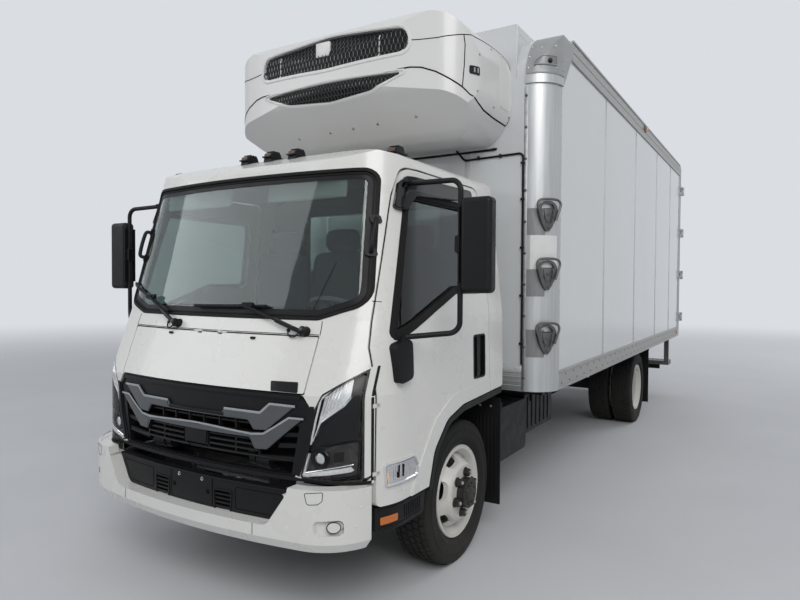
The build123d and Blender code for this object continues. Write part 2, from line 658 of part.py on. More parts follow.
def hinge_notch(height):
    """What the door gives up to a hinge lug: a notch, and a bore above and below it."""
    with BuildPart() as notch:
        add(slab((DOOR_AXIS_X - 60, DOOR_AXIS_X + 20), (DOOR_AXIS_Y - 20, DOOR_AXIS_Y + 14), (height - HINGE_HALF, height + HINGE_HALF)))
        with BuildSketch(Plane.XY.offset(height - 3 * HINGE_HALF - 1)):
            with Locations((DOOR_AXIS_X, DOOR_AXIS_Y)):
                Circle(DOOR_PIN + SPINDLE_GAP)
        extrude(amount=6 * HINGE_HALF + 2)
    return notch.part


# Cab shell: pillars, roof, back wall, front corners and cowl, with the floor joined to them
BACK_WINDOW_HALF = 560.0
BACK_WINDOW_LOW = 1690.0
BACK_WINDOW_HIGH = 2090.0
with BuildPart() as cab_shell:
    add(cab_outer)
    add(cab_inner, mode=Mode.SUBTRACT)
    add(slab((-1100, 1100), (station(-1300), station(-1)), (300, GRILLE_BOTTOM - 10)), mode=Mode.SUBTRACT)
    add(slab((-1100, 1100), (station(-500), CAB_BACK + 100), (300, FLOOR_LEVEL)), mode=Mode.SUBTRACT)
    for side in (1, -1):
        for zone in (door_gap_left, arch_left, lamp_left):
            add(zone if side > 0 else flip(zone), mode=Mode.SUBTRACT)
    for zone in (screen_zone, grille_zone, lid_gap):
        add(zone, mode=Mode.SUBTRACT)
    flare = cut(keep(skin(-FLARE_PROUD, 2), flare_left), door_gap_left, slab((800, 1100), (station(-1000), station(0)), (300, 1100)))
    add(flare)
    add(flip(flare))
    z = (BACK_WINDOW_LOW, BACK_WINDOW_HIGH)
    add(slab((-BACK_WINDOW_HALF, BACK_WINDOW_HALF), (CAB_BACK - 200, CAB_BACK + 20), z), mode=Mode.SUBTRACT)
    floor_limits = slab((-1100, 1100), (station(-960), CAB_BACK - CAB_WALL + 1), (FLOOR_LEVEL, FLOOR_LEVEL + CAB_FLOOR))
    door_sweep = slab((DOOR_AXIS_X - 92, 1100), (station(-1000), DOOR_AXIS_Y + 65), (FLOOR_LEVEL - 1, FLOOR_LEVEL + CAB_FLOOR + 1))
    add(cut(keep(floor_limits, cab_form(CAB_WALL + FLOOR_GAP)), door_sweep, flip(door_sweep)))
    add(slab((-820, 820), (CAB_BACK - 120, CAB_BACK - 10), (FLOOR_LEVEL, FLOOR_LEVEL + CAB_FLOOR)))
    add(prism_x(SEAT_STAND_ROWS, -820, 820))
    for side in (1, -1):
        arm = prism_x(CAB_ARM_ROWS, 290, 330)
        add(arm if side > 0 else flip(arm))
        add(rod((side * 290, station(-PIVOT_Y), PIVOT_Z), (side * 330, station(-PIVOT_Y), PIVOT_Z), CAB_EYE))
        bore = rod((side * 285, station(-PIVOT_Y), PIVOT_Z), (side * 335, station(-PIVOT_Y), PIVOT_Z), PIVOT_RADIUS + SPINDLE_GAP)
        add(bore, mode=Mode.SUBTRACT)
        for height in DOOR_HINGE_HEIGHTS:
            lug = hinge_lug(height)
            add(lug if side > 0 else flip(lug))
        for near, far in LID_HINGES:
            add(slab((side * near, side * (near + 26)), (LID_AXIS_Y - 4, LID_AXIS_Y + 6), (LID_AXIS_Z - 2.5, LID_AXIS_Z + 8)))
            add(rod((side * near, LID_AXIS_Y, LID_AXIS_Z), (side * far, LID_AXIS_Y, LID_AXIS_Z), LID_PIN))
print("cab shell solids", [round(s.volume / 1e6, 2) for s in cab_shell.part.solids()])
save(cab_shell.part, "cab_shell")

# Glass of the cab: windscreen bent to the form, and the flat back window
with BuildPart() as cab_glass:
    add(cut(keep(skin(GLASS_INSET, GLASS_INSET + GLASS), screen_zone), door_gap_left, flip(door_gap_left)))
    y = (CAB_BACK - 30, CAB_BACK - 30 + GLASS)
    add(slab((-BACK_WINDOW_HALF, BACK_WINDOW_HALF), y, (BACK_WINDOW_LOW, BACK_WINDOW_HIGH)))
print("cab glass solids", [round(s.volume / 1e6, 2) for s in cab_glass.part.solids()])
save(cab_glass.part, "cab_glass")

# Front lid under the windscreen, hinged along its top seam
lid_skin = skin(0, LID_WALL)
with BuildPart() as front_lid:
    add(keep(lid_skin, lid_zone))
    for side in (1, -1):
        for near, far in LID_HINGES:
            x = (side * (near - 2), side * (near + 28))
            add(slab(x, (LID_AXIS_Y - 40, LID_AXIS_Y + 60), (LID_AXIS_Z - 11, LID_AXIS_Z + 6)), mode=Mode.SUBTRACT)
            x = (side * (near + 27), side * (far - 1))
            add(slab(x, (LID_AXIS_Y - 1.6, LID_AXIS_Y + 3), (LID_AXIS_Z - 10, LID_AXIS_Z)))
            add(rod((x[0], LID_AXIS_Y, LID_AXIS_Z), (x[1], LID_AXIS_Y, LID_AXIS_Z), 3.2))
            bore = rod((side * near, LID_AXIS_Y, LID_AXIS_Z), (side * far, LID_AXIS_Y, LID_AXIS_Z), LID_PIN + SPINDLE_GAP)
            add(bore, mode=Mode.SUBTRACT)
save(front_lid.part, "front_lid")

# Grille: black panel, two winged bars, a cell row between them, slats in two groups and fins below
GRILLE_DEPTH = 40.0
PANEL_SINK = 10.0
SLAT_SINK = 18.0
# Half outlines of the bars: along the top from the middle outwards, then back below
UPPER_BAR = (
    (0, 966, 0), (190, 966, 0), (206, 992, 0), (424, 991, 20), (481, 1037, 20), (621, 1035, 10), (461, 907, 15),
    (386, 902, 15), (352, 946, 15), (0, 946, 0),
)
LOWER_BAR = (
    (0, 908, 0), (374, 888, 0), (441, 894, 30), (500, 928, 0), (583, 980, 20), (662, 981, 10), (565, 902, 0),
    (462, 816, 15), (392, 812, 15), (363, 864, 15), (0, 887, 0),
)
FINS = (
    ((530, 900, 0), (650, 905, 0), (640, 888, 0), (545, 880, 0)),
    ((520, 848, 0), (642, 856, 0), (632, 836, 0), (510, 826, 0)),
    ((400, 782, 0), (620, 792, 0), (610, 770, 0), (400, 758, 0)),
)
OPENING_ROWS = ((-632, 940, 10), (632, 940, 10), (590, 712, 10), (-590, 712, 10))
SLATS = ((846.0, 390.0), (820.0, 395.0), (794.0, 410.0), (768.0, 610.0))
SLAT_THICK = 12.0
DIVIDERS = (53.0, 160.0, 267.0)
RIBS = ((84.0, 890.0), (262.0, 880.0), (404.0, 815.0))
BLOCK_HALF = 84.0


def full_rows(half):
    """Closed rows of an outline from its left half, whose first and last corners lie on X = 0."""
    outer = half[1:-1]
    return list(outer) + [(-x, z, radius) for x, z, radius in reversed(outer)]


def grille_piece(sink, rows):
    """A piece of the grille's layer inside an outline seen from the front."""
    return keep(skin(sink, GRILLE_DEPTH), prism_y(rows, *FACE_AREA))


def face_box(x_low, x_high, z_low, z_high):
    """Rows of a plain rectangle seen from the front."""
    return ((x_low, z_low, 0), (x_low, z_high, 0), (x_high, z_high, 0), (x_high, z_low, 0))


with BuildPart() as grille:
    add(keep(skin(PANEL_SINK, GRILLE_DEPTH), grille_zone))
    add(prism_y(OPENING_ROWS, *FACE_AREA), mode=Mode.SUBTRACT)
    for half in (UPPER_BAR, LOWER_BAR):
        add(grille_piece(0, full_rows(half)))
    for height, half in SLATS:
        add(grille_piece(SLAT_SINK, face_box(-half, half, height, height + SLAT_THICK)))
    add(grille_piece(SLAT_SINK, face_box(-380, 380, 922, 930)))
    add(grille_piece(PANEL_SINK, face_box(-BLOCK_HALF, BLOCK_HALF, 790, 880)))
    for side in (1, -1):
        for x in DIVIDERS:
            add(grille_piece(SLAT_SINK, face_box(side * x - 4, side * x + 4, 890, 960)))
        for x, top in RIBS:
            add(grille_piece(SLAT_SINK, face_box(side * x - 5, side * x + 5, 768, top)))
        for rows in FINS:
            add(grille_piece(SLAT_SINK, [(side * x, z, radius) for x, z, radius in rows]))
print("grille solids", [round(s.volume / 1e6, 3) for s in grille.part.solids()])
save(grille.part, "grille")

# Headlamps: the round corner between grille and door, filled to a depth
LAMP_SPLIT = ((640, 824, 0), (640, 831, 0), (960, 899, 0), (960, 892, 0))
LAMP_GROOVE = 10.0
with BuildPart() as headlamps:
    lamp_block = cut(keep(skin(0, CAB_WALL), lamp_left), door_gap_left, *[hinge_notch(height) for height in DOOR_HINGE_HEIGHTS])
    groove = keep(skin(-1, LAMP_GROOVE), prism_y(LAMP_SPLIT, *FACE_AREA))
    lamp_block = cut(lamp_block, groove)
    add(lamp_block)
    add(flip(lamp_block))
print("lamp solids", [round(s.volume / 1e6, 3) for s in headlamps.part.solids()])
save(headlamps.part, "headlamps")

# Cab doors: panel with its window opening, glass, and the mirror on its tube arm
MIRROR_X = 1224.0
MIRROR_Y = -600.0
MIRROR_TUBE = 13.0
MIRROR_REACH = 1388.0
door_skin = skin(0, CAB_WALL)
HANDLE_PLACE = ((52, 205), (1052, 1298))
HANDLE_DEPTH = 18.0
GRIP_WIDTH = 42.0
with BuildPart() as door_build:
    add(keep(door_skin, door_zone_left))
    add(keep(skin(-FLARE_PROUD, 2), flare_left, door_zone_left))
    handle_y, handle_z = HANDLE_PLACE
    pocket_y = (station(handle_y[0]), station(handle_y[1]))
    add(slab((CAB_HALF_WIDTH - HANDLE_DEPTH, CAB_HALF_WIDTH + 10), pocket_y, handle_z), mode=Mode.SUBTRACT)
    grip_y = (pocket_y[0] + 30, pocket_y[0] + 30 + GRIP_WIDTH)
    add(slab((CAB_HALF_WIDTH - 12, CAB_HALF_WIDTH - 1), grip_y, handle_z))
    for low in (handle_z[0], handle_z[1] - 30):
        add(slab((CAB_HALF_WIDTH - HANDLE_DEPTH, CAB_HALF_WIDTH - 1), grip_y, (low, low + 30)))
    for zone in (window_left, arch_left, *[hinge_notch(height) for height in DOOR_HINGE_HEIGHTS]):
        add(zone, mode=Mode.SUBTRACT)
door_panel = door_build.part
door_glass = keep(skin(GLASS_INSET + 8, GLASS_INSET + 8 + GLASS), window_left)
with BuildPart() as mirror_head:
    add(slab((MIRROR_X + 8, MIRROR_REACH), (station(MIRROR_Y - 34), station(MIRROR_Y + 46)), (1552, 1992)))
    fillet(mirror_head.edges(), 24)
with BuildPart() as mirror_arm:
    with BuildLine() as arm_line:
        FilletPolyline(
            (862, station(-560), 2090), (MIRROR_X, station(MIRROR_Y), 2078), (MIRROR_X, station(MIRROR_Y), 1368),
            (1010, station(-735), 1345), radius=[55, 55],
        )
    with BuildSketch(Plane(origin=arm_line.line @ 0, z_dir=arm_line.line % 0)):
        Circle(MIRROR_TUBE)
    sweep()
    add(mirror_head.part)
    add(slab((MIRROR_X - 20, MIRROR_X + 20), (station(MIRROR_Y - 22), station(MIRROR_Y + 22)), (1740, 1816)))
    pedestal = keep(skin(-34, 0), prism_x(((-790, 1130, 14), (-790, 1310, 30), (-690, 1345, 30), (-690, 1150, 30)), 700, 1100))
    add(pedestal)
    add(rod((975, station(-740), 1280), (1010, station(-735), 1345), MIRROR_TUBE))
    add(keep(skin(-30, 0), prism_x(((-600, 2060, 10), (-560, 2125, 10), (-500, 2125, 10), (-530, 2060, 10)), 700, 1100)))
    add(cab_outer, mode=Mode.SUBTRACT)
print("mirror solids", [round(s.volume / 1e6, 3) for s in mirror_arm.part.solids()], "door", len(door_panel.solids()))
for side, name in ((1, "left"), (-1, "right")):
    for piece, kind in ((door_panel, "door"), (door_glass, "door_glass"), (mirror_arm.part, "mirror")):
        save(piece if side > 0 else flip(piece), kind + "_" + name)

# Cab inside: dashboard, steering wheel on its column, seats
DASH_ROWS = (
    (-905, FLOOR_LEVEL + CAB_FLOOR, 0), (-905, 1290, 40), (-780, 1385, 60), (-640, 1365, 50), (-590, 1180, 60),
    (-700, FLOOR_LEVEL + CAB_FLOOR, 0),
)
DASH_HALF = 800.0
WHEEL_CENTRE = (470.0, -490.0, 1405.0)
WHEEL_RING = 205.0
WHEEL_TILT = 30.0
with BuildPart() as dashboard:
    add(prism_x(DASH_ROWS, -DASH_HALF, DASH_HALF))
    add(cab_form(CAB_WALL + FLOOR_GAP), mode=Mode.INTERSECT)
with BuildPart() as steering_wheel:
    add(dashboard.part)
    tilt = math.radians(WHEEL_TILT)
    hub_origin = (WHEEL_CENTRE[0], station(WHEEL_CENTRE[1]), WHEEL_CENTRE[2])
    hub_plane = Plane(origin=hub_origin, z_dir=(0, math.sin(tilt), math.cos(tilt)))
    with BuildSketch(hub_plane):
        Circle(WHEEL_RING)
        Circle(WHEEL_RING - 26, mode=Mode.SUBTRACT)
        Rectangle(2 * WHEEL_RING - 30, 34)
        with Locations((0, -WHEEL_RING / 2)):
            Rectangle(34, WHEEL_RING - 20)
        Circle(62)
    extrude(amount=24)
    with BuildSketch(hub_plane):
        Circle(28)
    extrude(amount=-290)
save(steering_wheel.part, "dashboard")
with BuildPart() as seats:
    for low, high in ((-800, -330), (-290, 180), (240, 760)):
        base = ((-330, SEAT_TOP - 190, 40), (-360, SEAT_TOP, 50), (130, SEAT_TOP - 20, 30), (130, SEAT_TOP - 190, 20))
        back = ((60, SEAT_TOP - 100, 0), (170, SEAT_TOP + 640, 50), (270, SEAT_TOP + 640, 50), (200, SEAT_TOP - 100, 0))
        add(prism_x(base, low, high))
        add(prism_x(back, low + 10, high - 10))
save(seats.part, "seats")

# Small cab pieces: roof marker lamps, arch liners with their trim, wipers
ROOF_LAMPS = ((-815, -505, 2246), (-180, -530, 2294), (0, -530, 2298), (180, -530, 2294), (815, -505, 2246))
with BuildPart() as roof_lamps:
    for x, y, z in ROOF_LAMPS:
        rows = ((y - 62, z - 60, 0), (y - 48, z + 34, 14), (y + 20, z + 44, 20), (y + 62, z - 60, 0))
        add(prism_x(rows, x - 28, x + 28))
    add(cab_outer, mode=Mode.SUBTRACT)
save(roof_lamps.part, "roof_lamps")

LINER_WALL = 8.0
LINER_INSIDE = 640.0
TRIM_GAP = 6.0
TRIM_WIDTH = 34.0
TRIM_PROUD = 11.0
with BuildPart() as arch_liners:
    x = (LINER_INSIDE, CAB_HALF_WIDTH - CAB_WALL + 10)
    liner = cut(
        keep(prism_x(arch_rows(TRIM_GAP), *x), slab((0, 1100), (station(-700), CAB_BACK - CAB_WALL - 10), (560, FLOOR_LEVEL))),
        prism_x(arch_rows(TRIM_GAP + LINER_WALL), x[0] - 10, x[1] + 10),
    )
    trim_limits = slab((700, 1100), (station(-700), CAB_BACK - 40), (556, 1000))
    trim = cut(keep(skin(-TRIM_PROUD, 40), prism_x(arch_rows(TRIM_GAP), 700, 1100), trim_limits), prism_x(arch_rows(TRIM_GAP + TRIM_WIDTH), 700, 1100))
    for piece in (liner, trim):
        add(piece)
        add(flip(piece))
print("liners", [round(s.volume / 1e3) for s in arch_liners.part.solids()])
save(arch_liners.part, "arch_liners")


def face_y(x, z, out):
    """Row Y of a place on the cab's face, a little way out of it."""
    for low, high in zip(CAB_LEVELS, CAB_LEVELS[1:]):
        if z <= high[0]:
            break
    share = (z - low[0]) / (high[0] - low[0])
    _, half, face, corner = [a + (b - a) * share for a, b in zip(low, high)]
    centre = -face + FACE_BOW
    corner_x = half - corner
    corner_y = centre - math.sqrt((FACE_BOW - corner) ** 2 - corner_x**2)
    if abs(x) < corner_x * FACE_BOW / (FACE_BOW - corner):
        y = centre - math.sqrt(FACE_BOW**2 - x**2)
    else:
        y = corner_y - math.sqrt(corner**2 - (abs(x) - corner_x) ** 2)
    return station(y - out)


# Columns: pivot, end of the arm, two ends of the blade, each X and height
WIPERS = (
    ((590, 1364), (236, 1478), (343, 1480), (-149, 1473)),
    ((-260, 1374), (-560, 1508), (-367, 1436), (-850, 1588)),
)
with BuildPart() as wipers:
    for pivot, arm, near, far in WIPERS:
        base = (pivot[0], face_y(*pivot, -6), pivot[1])
        tip = (pivot[0], face_y(*pivot, 36), pivot[1])
        add(rod(base, tip, 15))
        elbow = (pivot[0] + (arm[0] - pivot[0]) * 0.45, pivot[1] + (arm[1] - pivot[1]) * 0.45)
        points = [(x, face_y(x, z, 30), z) for x, z in (pivot, elbow, arm)]
        add(rod(points[0], points[1], 11))
        add(rod(points[1], points[2], 7))
        middle = ((near[0] + far[0]) / 2, (near[1] + far[1]) / 2)
        blade = [(x, face_y(x, z, 14), z) for x, z in (near, middle, far)]
        add(rod(blade[0], blade[1], 8))
        add(rod(blade[1], blade[2], 8))
        add(rod((arm[0], face_y(*arm, 36), arm[1]), (arm[0], face_y(*arm, 8), arm[1]), 12))
    add(cab_outer, mode=Mode.SUBTRACT)
print("wipers", [round(s.volume / 1e3) for s in wipers.part.solids()])
save(wipers.part, "wipers")

# Bumper: white wrap-round shell with its lower lip, and the black insert with the number plate place
BUMPER_HALF = 962.0
BUMPER_LOW = 402.0
BUMPER_TOP = 686.0
BUMPER_CORNER = 300.0
BUMPER_WALL = 90.0
BUMPER_END = -922.0
BUMPER_CHAMFER = 26.0
BUMPER_RISE = 44.0
BUMPER_STEP = 30.0
BUMPER_STEP_LEVEL = 650.0
FOG_ROWS = ((776, 486, 14), (770, 550, 20), (882, 556, 20), (884, 486, 20))
FOG_DEPTH = 22.0
FOG_CAP = (850.0, 522.0, 24.0)
INSERT_VENTS = (170.0, 270.0)
VENT_LEVELS = (498.0, 518.0, 538.0, 558.0, 578.0)
VENT_HEIGHT = 11.0
INSERT_SINK = 70.0
INSERT_DEPTH = 40.0
PLATE_SPACING = 166.0
PLATE_LEVEL = 628.0
PLATE_HOLE = 3.5


def bumper_form(inset):
    """Closed bowed block of the bumper, drawn in by an inset."""
    with BuildPart() as form:
        for height, more in ((BUMPER_LOW, BUMPER_CHAMFER), (BUMPER_LOW + BUMPER_RISE, 0), (BUMPER_TOP, 0)):
            with BuildSketch(Plane.XY.offset(height)):
                with Locations((0, FRONT_AXLE)):
                    half = BUMPER_HALF - inset - more
                    face = FRONT_OVERHANG - inset - more
                    add(bowed_outline(half, face, BUMPER_CORNER - (inset + more) / 2, -600, FACE_BOW))
        loft(ruled=True)
    return form.part


INSERT_ROWS = ((-640, 652, 10), (640, 652, 10), (535, 500, 60), (-535, 500, 60))
insert_zone = prism_y(INSERT_ROWS, station(-1300), station(-700))
above_zone = prism_y(((-640, 652, 0), (-668, 760, 0), (668, 760, 0), (640, 652, 0)), station(-1300), station(-700))
bumper_limits = slab((-1100, 1100), (station(-1300), station(BUMPER_END)), (300, 800))
with BuildPart() as front_bumper:
    add(bumper_form(0))
    add(bumper_form(BUMPER_WALL), mode=Mode.SUBTRACT)
    add(bumper_limits, mode=Mode.INTERSECT)
    add(insert_zone, mode=Mode.SUBTRACT)
    fog_zone = prism_y(FOG_ROWS, station(-1300), station(-900))
    for side in (1, -1):
        zone = cut(fog_zone, bumper_form(FOG_DEPTH))
        cap = keep(rod((FOG_CAP[0], station(-1300), FOG_CAP[1]), (FOG_CAP[0], station(-900), FOG_CAP[1]), FOG_CAP[2]), bumper_form(4))
        cap = cut(cap, bumper_form(FOG_DEPTH + 10))
        add(zone if side > 0 else flip(zone), mode=Mode.SUBTRACT)
        add(cap if side > 0 else flip(cap))
    step = keep(bumper_form(BUMPER_WALL - BUMPER_STEP), slab((-1100, 1100), (station(-1300), station(-700)), (BUMPER_STEP_LEVEL, 800)))
    add(step, mode=Mode.SUBTRACT)
    add(above_zone, mode=Mode.SUBTRACT)
    for side in (1, -1):
        x = (side * HALF_FRAME, side * (HALF_FRAME - 70))
        add(slab(x, (station(-1150), station(-945)), (430, 500)))
save(front_bumper.part, "front_bumper")
with BuildPart() as bumper_insert:
    add(bumper_form(INSERT_SINK))
    add(bumper_form(INSERT_SINK + INSERT_DEPTH), mode=Mode.SUBTRACT)
    add(insert_zone, mode=Mode.INTERSECT)
    for side in (1, -1):
        for level in VENT_LEVELS:
            x = (side * INSERT_VENTS[0], side * INSERT_VENTS[1])
            add(slab(x, (station(-1300), station(-900)), (level, level + VENT_HEIGHT)), mode=Mode.SUBTRACT)
        x = side * PLATE_SPACING / 2
        add(rod((x, station(-1300), PLATE_LEVEL), (x, station(-900), PLATE_LEVEL), PLATE_HOLE), mode=Mode.SUBTRACT)
save(bumper_insert.part, "bumper_insert")

# Chassis frame: two channels joined by crossmembers, with the cab pivot brackets in front
FRAME_FRONT = -945.0
FRAME_REAR = DOOR_FRONT_FACE - FRONT_AXLE - 20
LOW_CROSS = (-855.0, -560.0)
CROSS_START = 980.0
CROSS_COUNT = 8
PIVOT_BOSS = 38.0
BEARER_PITCH = 600.0
BEARER_COUNT = 10
with BuildPart() as chassis_frame:
    y = (station(FRAME_FRONT), station(FRAME_REAR))
    for side in (1, -1):
        add(slab((side * HALF_FRAME, side * (HALF_FRAME - RAIL_WALL)), y, (FRAME_BOTTOM, FRAME_TOP)))
        for z in (FRAME_BOTTOM, FRAME_TOP - RAIL_WALL):
            add(slab((side * HALF_FRAME, side * (HALF_FRAME - RAIL_FLANGE)), y, (z, z + RAIL_WALL)))
        x = (side * HALF_FRAME, side * (HALF_FRAME - 85))
        add(slab(x, (station(-PIVOT_Y), station(FRAME_FRONT + 120)), (PIVOT_Z - PIVOT_BOSS, PIVOT_Z + PIVOT_BOSS)))
        add(rod((x[0], station(-PIVOT_Y), PIVOT_Z), (x[1], station(-PIVOT_Y), PIVOT_Z), PIVOT_BOSS))
        add(rod((x[0], station(-PIVOT_Y), PIVOT_Z), (side * 285, station(-PIVOT_Y), PIVOT_Z), PIVOT_RADIUS))
        x = (side * HALF_FRAME, side * (HALF_FRAME - 70))
        add(slab(x, (station(FRAME_FRONT), station(FRAME_FRONT + 120)), (430, FRAME_BOTTOM)))
    x = (-HALF_FRAME + RAIL_WALL, HALF_FRAME - RAIL_WALL)
    for place in LOW_CROSS:
        add(slab(x, (station(place), station(place + 60)), (FRAME_BOTTOM + RAIL_WALL, FRAME_BOTTOM + 80)))
    for i in range(CROSS_COUNT):
        place = CROSS_START + i * CROSSMEMBER_PITCH
        add(slab(x, (station(place), station(place + 60)), (FRAME_TOP - 90, FRAME_TOP - RAIL_WALL)))
    for i in range(BEARER_COUNT):
        place = BODY_SETBACK + 90 + BEARER_PITCH * i
        if place + 60 < BODY_SETBACK + BODY_LENGTH - 100:
            add(slab((-HALF_INSIDE, HALF_INSIDE), (station(place), station(place + 60)), (FRAME_TOP, BODY_BOTTOM)))
save(chassis_frame.part, "chassis_frame")

# Engine block and driveline
DIFF_RADIUS = 180.0
with BuildPart() as engine_block:
    add(prism_x(((-420, 560, 30), (-420, 832, 30), (420, 832, 30), (420, 560, 30)), -235, 235))
    for side in (1, -1):
        add(slab((side * 230, side * (HALF_FRAME - RAIL_WALL)), (station(-120), station(-40)), (FRAME_BOTTOM + RAIL_WALL, 720)))
save(engine_block.part, "engine_block")
SHAFT_START = (0, station(900), 680)
SHAFT_END = (0, REAR_AXLE - DIFF_RADIUS - 30, TYRE_RADIUS + 55)
with BuildPart() as driveline:
    add(prism_x(((420, 600, 0), (420, 800, 0), (900, 740, 40), (900, 620, 40)), -130, 130))
    add(rod(SHAFT_START, SHAFT_END, 50))
    add(slab((-140, 140), (REAR_AXLE - DIFF_RADIUS - 60, REAR_AXLE + DIFF_RADIUS - 60), (TYRE_RADIUS - 100, TYRE_RADIUS + 130)), mode=Mode.SUBTRACT)
save(driveline.part, "driveline")


def leaf_springs(centre, low, reach, rise):
    """A pair of leaf packs: each bowed from its ends under the frame down to the axle."""
    with BuildPart() as springs:
        with BuildSketch(Plane.YZ.offset(HALF_FRAME - 20 - SPRING_WIDTH)):
            with BuildLine():
                Polyline(
                    (centre - reach, low + rise), (centre - 90, low), (centre + 90, low), (centre + reach, low + rise),
                    (centre + reach, low + rise + 16), (centre + 90, low + 60), (centre - 90, low + 60),
                    (centre - reach, low + rise + 16), close=True,
                )
            make_face()
        extrude(amount=SPRING_WIDTH)
        for end in (-1, 1):
            x = (HALF_FRAME - 20 - SPRING_WIDTH, HALF_FRAME - 20)
            y = (centre + end * reach - 30, centre + end * reach + 30)
            add(slab(x, y, (low + rise, FRAME_BOTTOM)))
    with BuildPart() as pair:
        add(springs.part)
        add(flip(springs.part))
    return pair.part


# Front axle: beam with kingpin bosses, springs above it
BEAM_HEIGHT = 80.0
BEAM_LOW = 330.0
BOSS_RADIUS = 36.0
BOSS_HALF = 50.0
with BuildPart() as front_axle:
    add(slab((-620, 620), (station(-45), station(45)), (BEAM_LOW, BEAM_LOW + BEAM_HEIGHT)))
    for side in (1, -1):
        with BuildSketch(Plane.XZ.offset(-station(30))):
            with BuildLine():
                Polyline(
                    (side * 590, BEAM_LOW), (side * 590, BEAM_LOW + BEAM_HEIGHT), (side * KINGPIN_X, TYRE_RADIUS + BOSS_HALF),
                    (side * KINGPIN_X, TYRE_RADIUS - BOSS_HALF), (side * 660, TYRE_RADIUS - BOSS_HALF), close=True,
                )
            make_face()
        extrude(amount=60)
    for side in (1, -1):
        with BuildSketch(Plane.XY.offset(TYRE_RADIUS - BOSS_HALF)):
            with Locations((side * KINGPIN_X, FRONT_AXLE)):
                Circle(BOSS_RADIUS)
        extrude(amount=2 * BOSS_HALF)
        with BuildSketch(Plane.XY.offset(TYRE_RADIUS - BOSS_HALF)):
            with Locations((side * KINGPIN_X, FRONT_AXLE)):
                Circle(KINGPIN_RADIUS + SPINDLE_GAP)
        extrude(amount=2 * BOSS_HALF, mode=Mode.SUBTRACT)
    add(leaf_springs(FRONT_AXLE, BEAM_LOW + BEAM_HEIGHT, 560, 120))
save(front_axle.part, "front_axle")

# Knuckles: a fork round the axle boss on the kingpin, carrying the wheel spindle
FORK_ARM = 26.0
FORK_GAP = 0.5
FORK_HALF = BOSS_HALF + FORK_GAP + FORK_ARM
WEB_IN = 44.0
SPINDLE_TIP = FRONT_TRACK / 2 + DISC_OFFSET + 30
for side, name in ((1, "left"), (-1, "right")):
    with BuildPart() as knuckle:
        for z in (TYRE_RADIUS - FORK_HALF, TYRE_RADIUS + BOSS_HALF + FORK_GAP):
            with BuildSketch(Plane.XY.offset(z)):
                with Locations((side * KINGPIN_X, FRONT_AXLE)):
                    Circle(BOSS_RADIUS)
                with Locations((side * (KINGPIN_X + 34), FRONT_AXLE)):
                    Rectangle(68, 70)
            extrude(amount=FORK_ARM)
        with BuildSketch(Plane.XY.offset(TYRE_RADIUS - FORK_HALF)):
            with Locations((side * KINGPIN_X, FRONT_AXLE)):
                Circle(KINGPIN_RADIUS)
        extrude(amount=2 * FORK_HALF)
        x = (side * (KINGPIN_X + WEB_IN), side * (KINGPIN_X + 68))
        add(slab(x, (FRONT_AXLE - 50, FRONT_AXLE + 50), (TYRE_RADIUS - FORK_HALF, TYRE_RADIUS + FORK_HALF)))
        add(rod((side * (KINGPIN_X + 60), FRONT_AXLE, TYRE_RADIUS), (side * SPINDLE_TIP, FRONT_AXLE, TYRE_RADIUS), SPINDLE_RADIUS))
        x = (side * (KINGPIN_X - 10), side * (KINGPIN_X + 40))
        z = (TYRE_RADIUS - FORK_HALF - 24, TYRE_RADIUS - FORK_HALF)
        add(slab(x, (FRONT_AXLE - 20, FRONT_AXLE + 170), z))
    save(knuckle.part, "knuckle_" + name)

# Rear axle: housing with its differential, springs, and a spindle each side
HOUSING_RADIUS = 66.0
HOUSING_HALF = 560.0
REAR_TIP = REAR_TRACK / 2 + REAR_HUB_OUT
with BuildPart() as rear_axle:
    add(rod((-HOUSING_HALF, REAR_AXLE, TYRE_RADIUS), (HOUSING_HALF, REAR_AXLE, TYRE_RADIUS), HOUSING_RADIUS))
    with BuildSketch(Plane.XZ.offset(-REAR_AXLE)):
        with Locations((0, TYRE_RADIUS)):
            Circle(DIFF_RADIUS)
    extrude(amount=90, both=True)
    add(rod((0, REAR_AXLE - DIFF_RADIUS - 60, TYRE_RADIUS + 55), (0, REAR_AXLE, TYRE_RADIUS + 55), 70))
    add(rod((-REAR_TIP, REAR_AXLE, TYRE_RADIUS), (REAR_TIP, REAR_AXLE, TYRE_RADIUS), SPINDLE_RADIUS))
    add(leaf_springs(REAR_AXLE, TYRE_RADIUS + HOUSING_RADIUS - 4, 680, 100))
save(rear_axle.part, "rear_axle")


# Wheels: tyres and rims turned about the wheel's own axis
def turned(rows):
    """A closed section of width and radius turned about the wheel's axis, at the origin."""
    with BuildPart() as ring:
        with BuildSketch(Plane.XY):
            with BuildLine():
                rounded_line(rows)
            make_face()
        revolve(axis=Axis.X)
    return ring.part


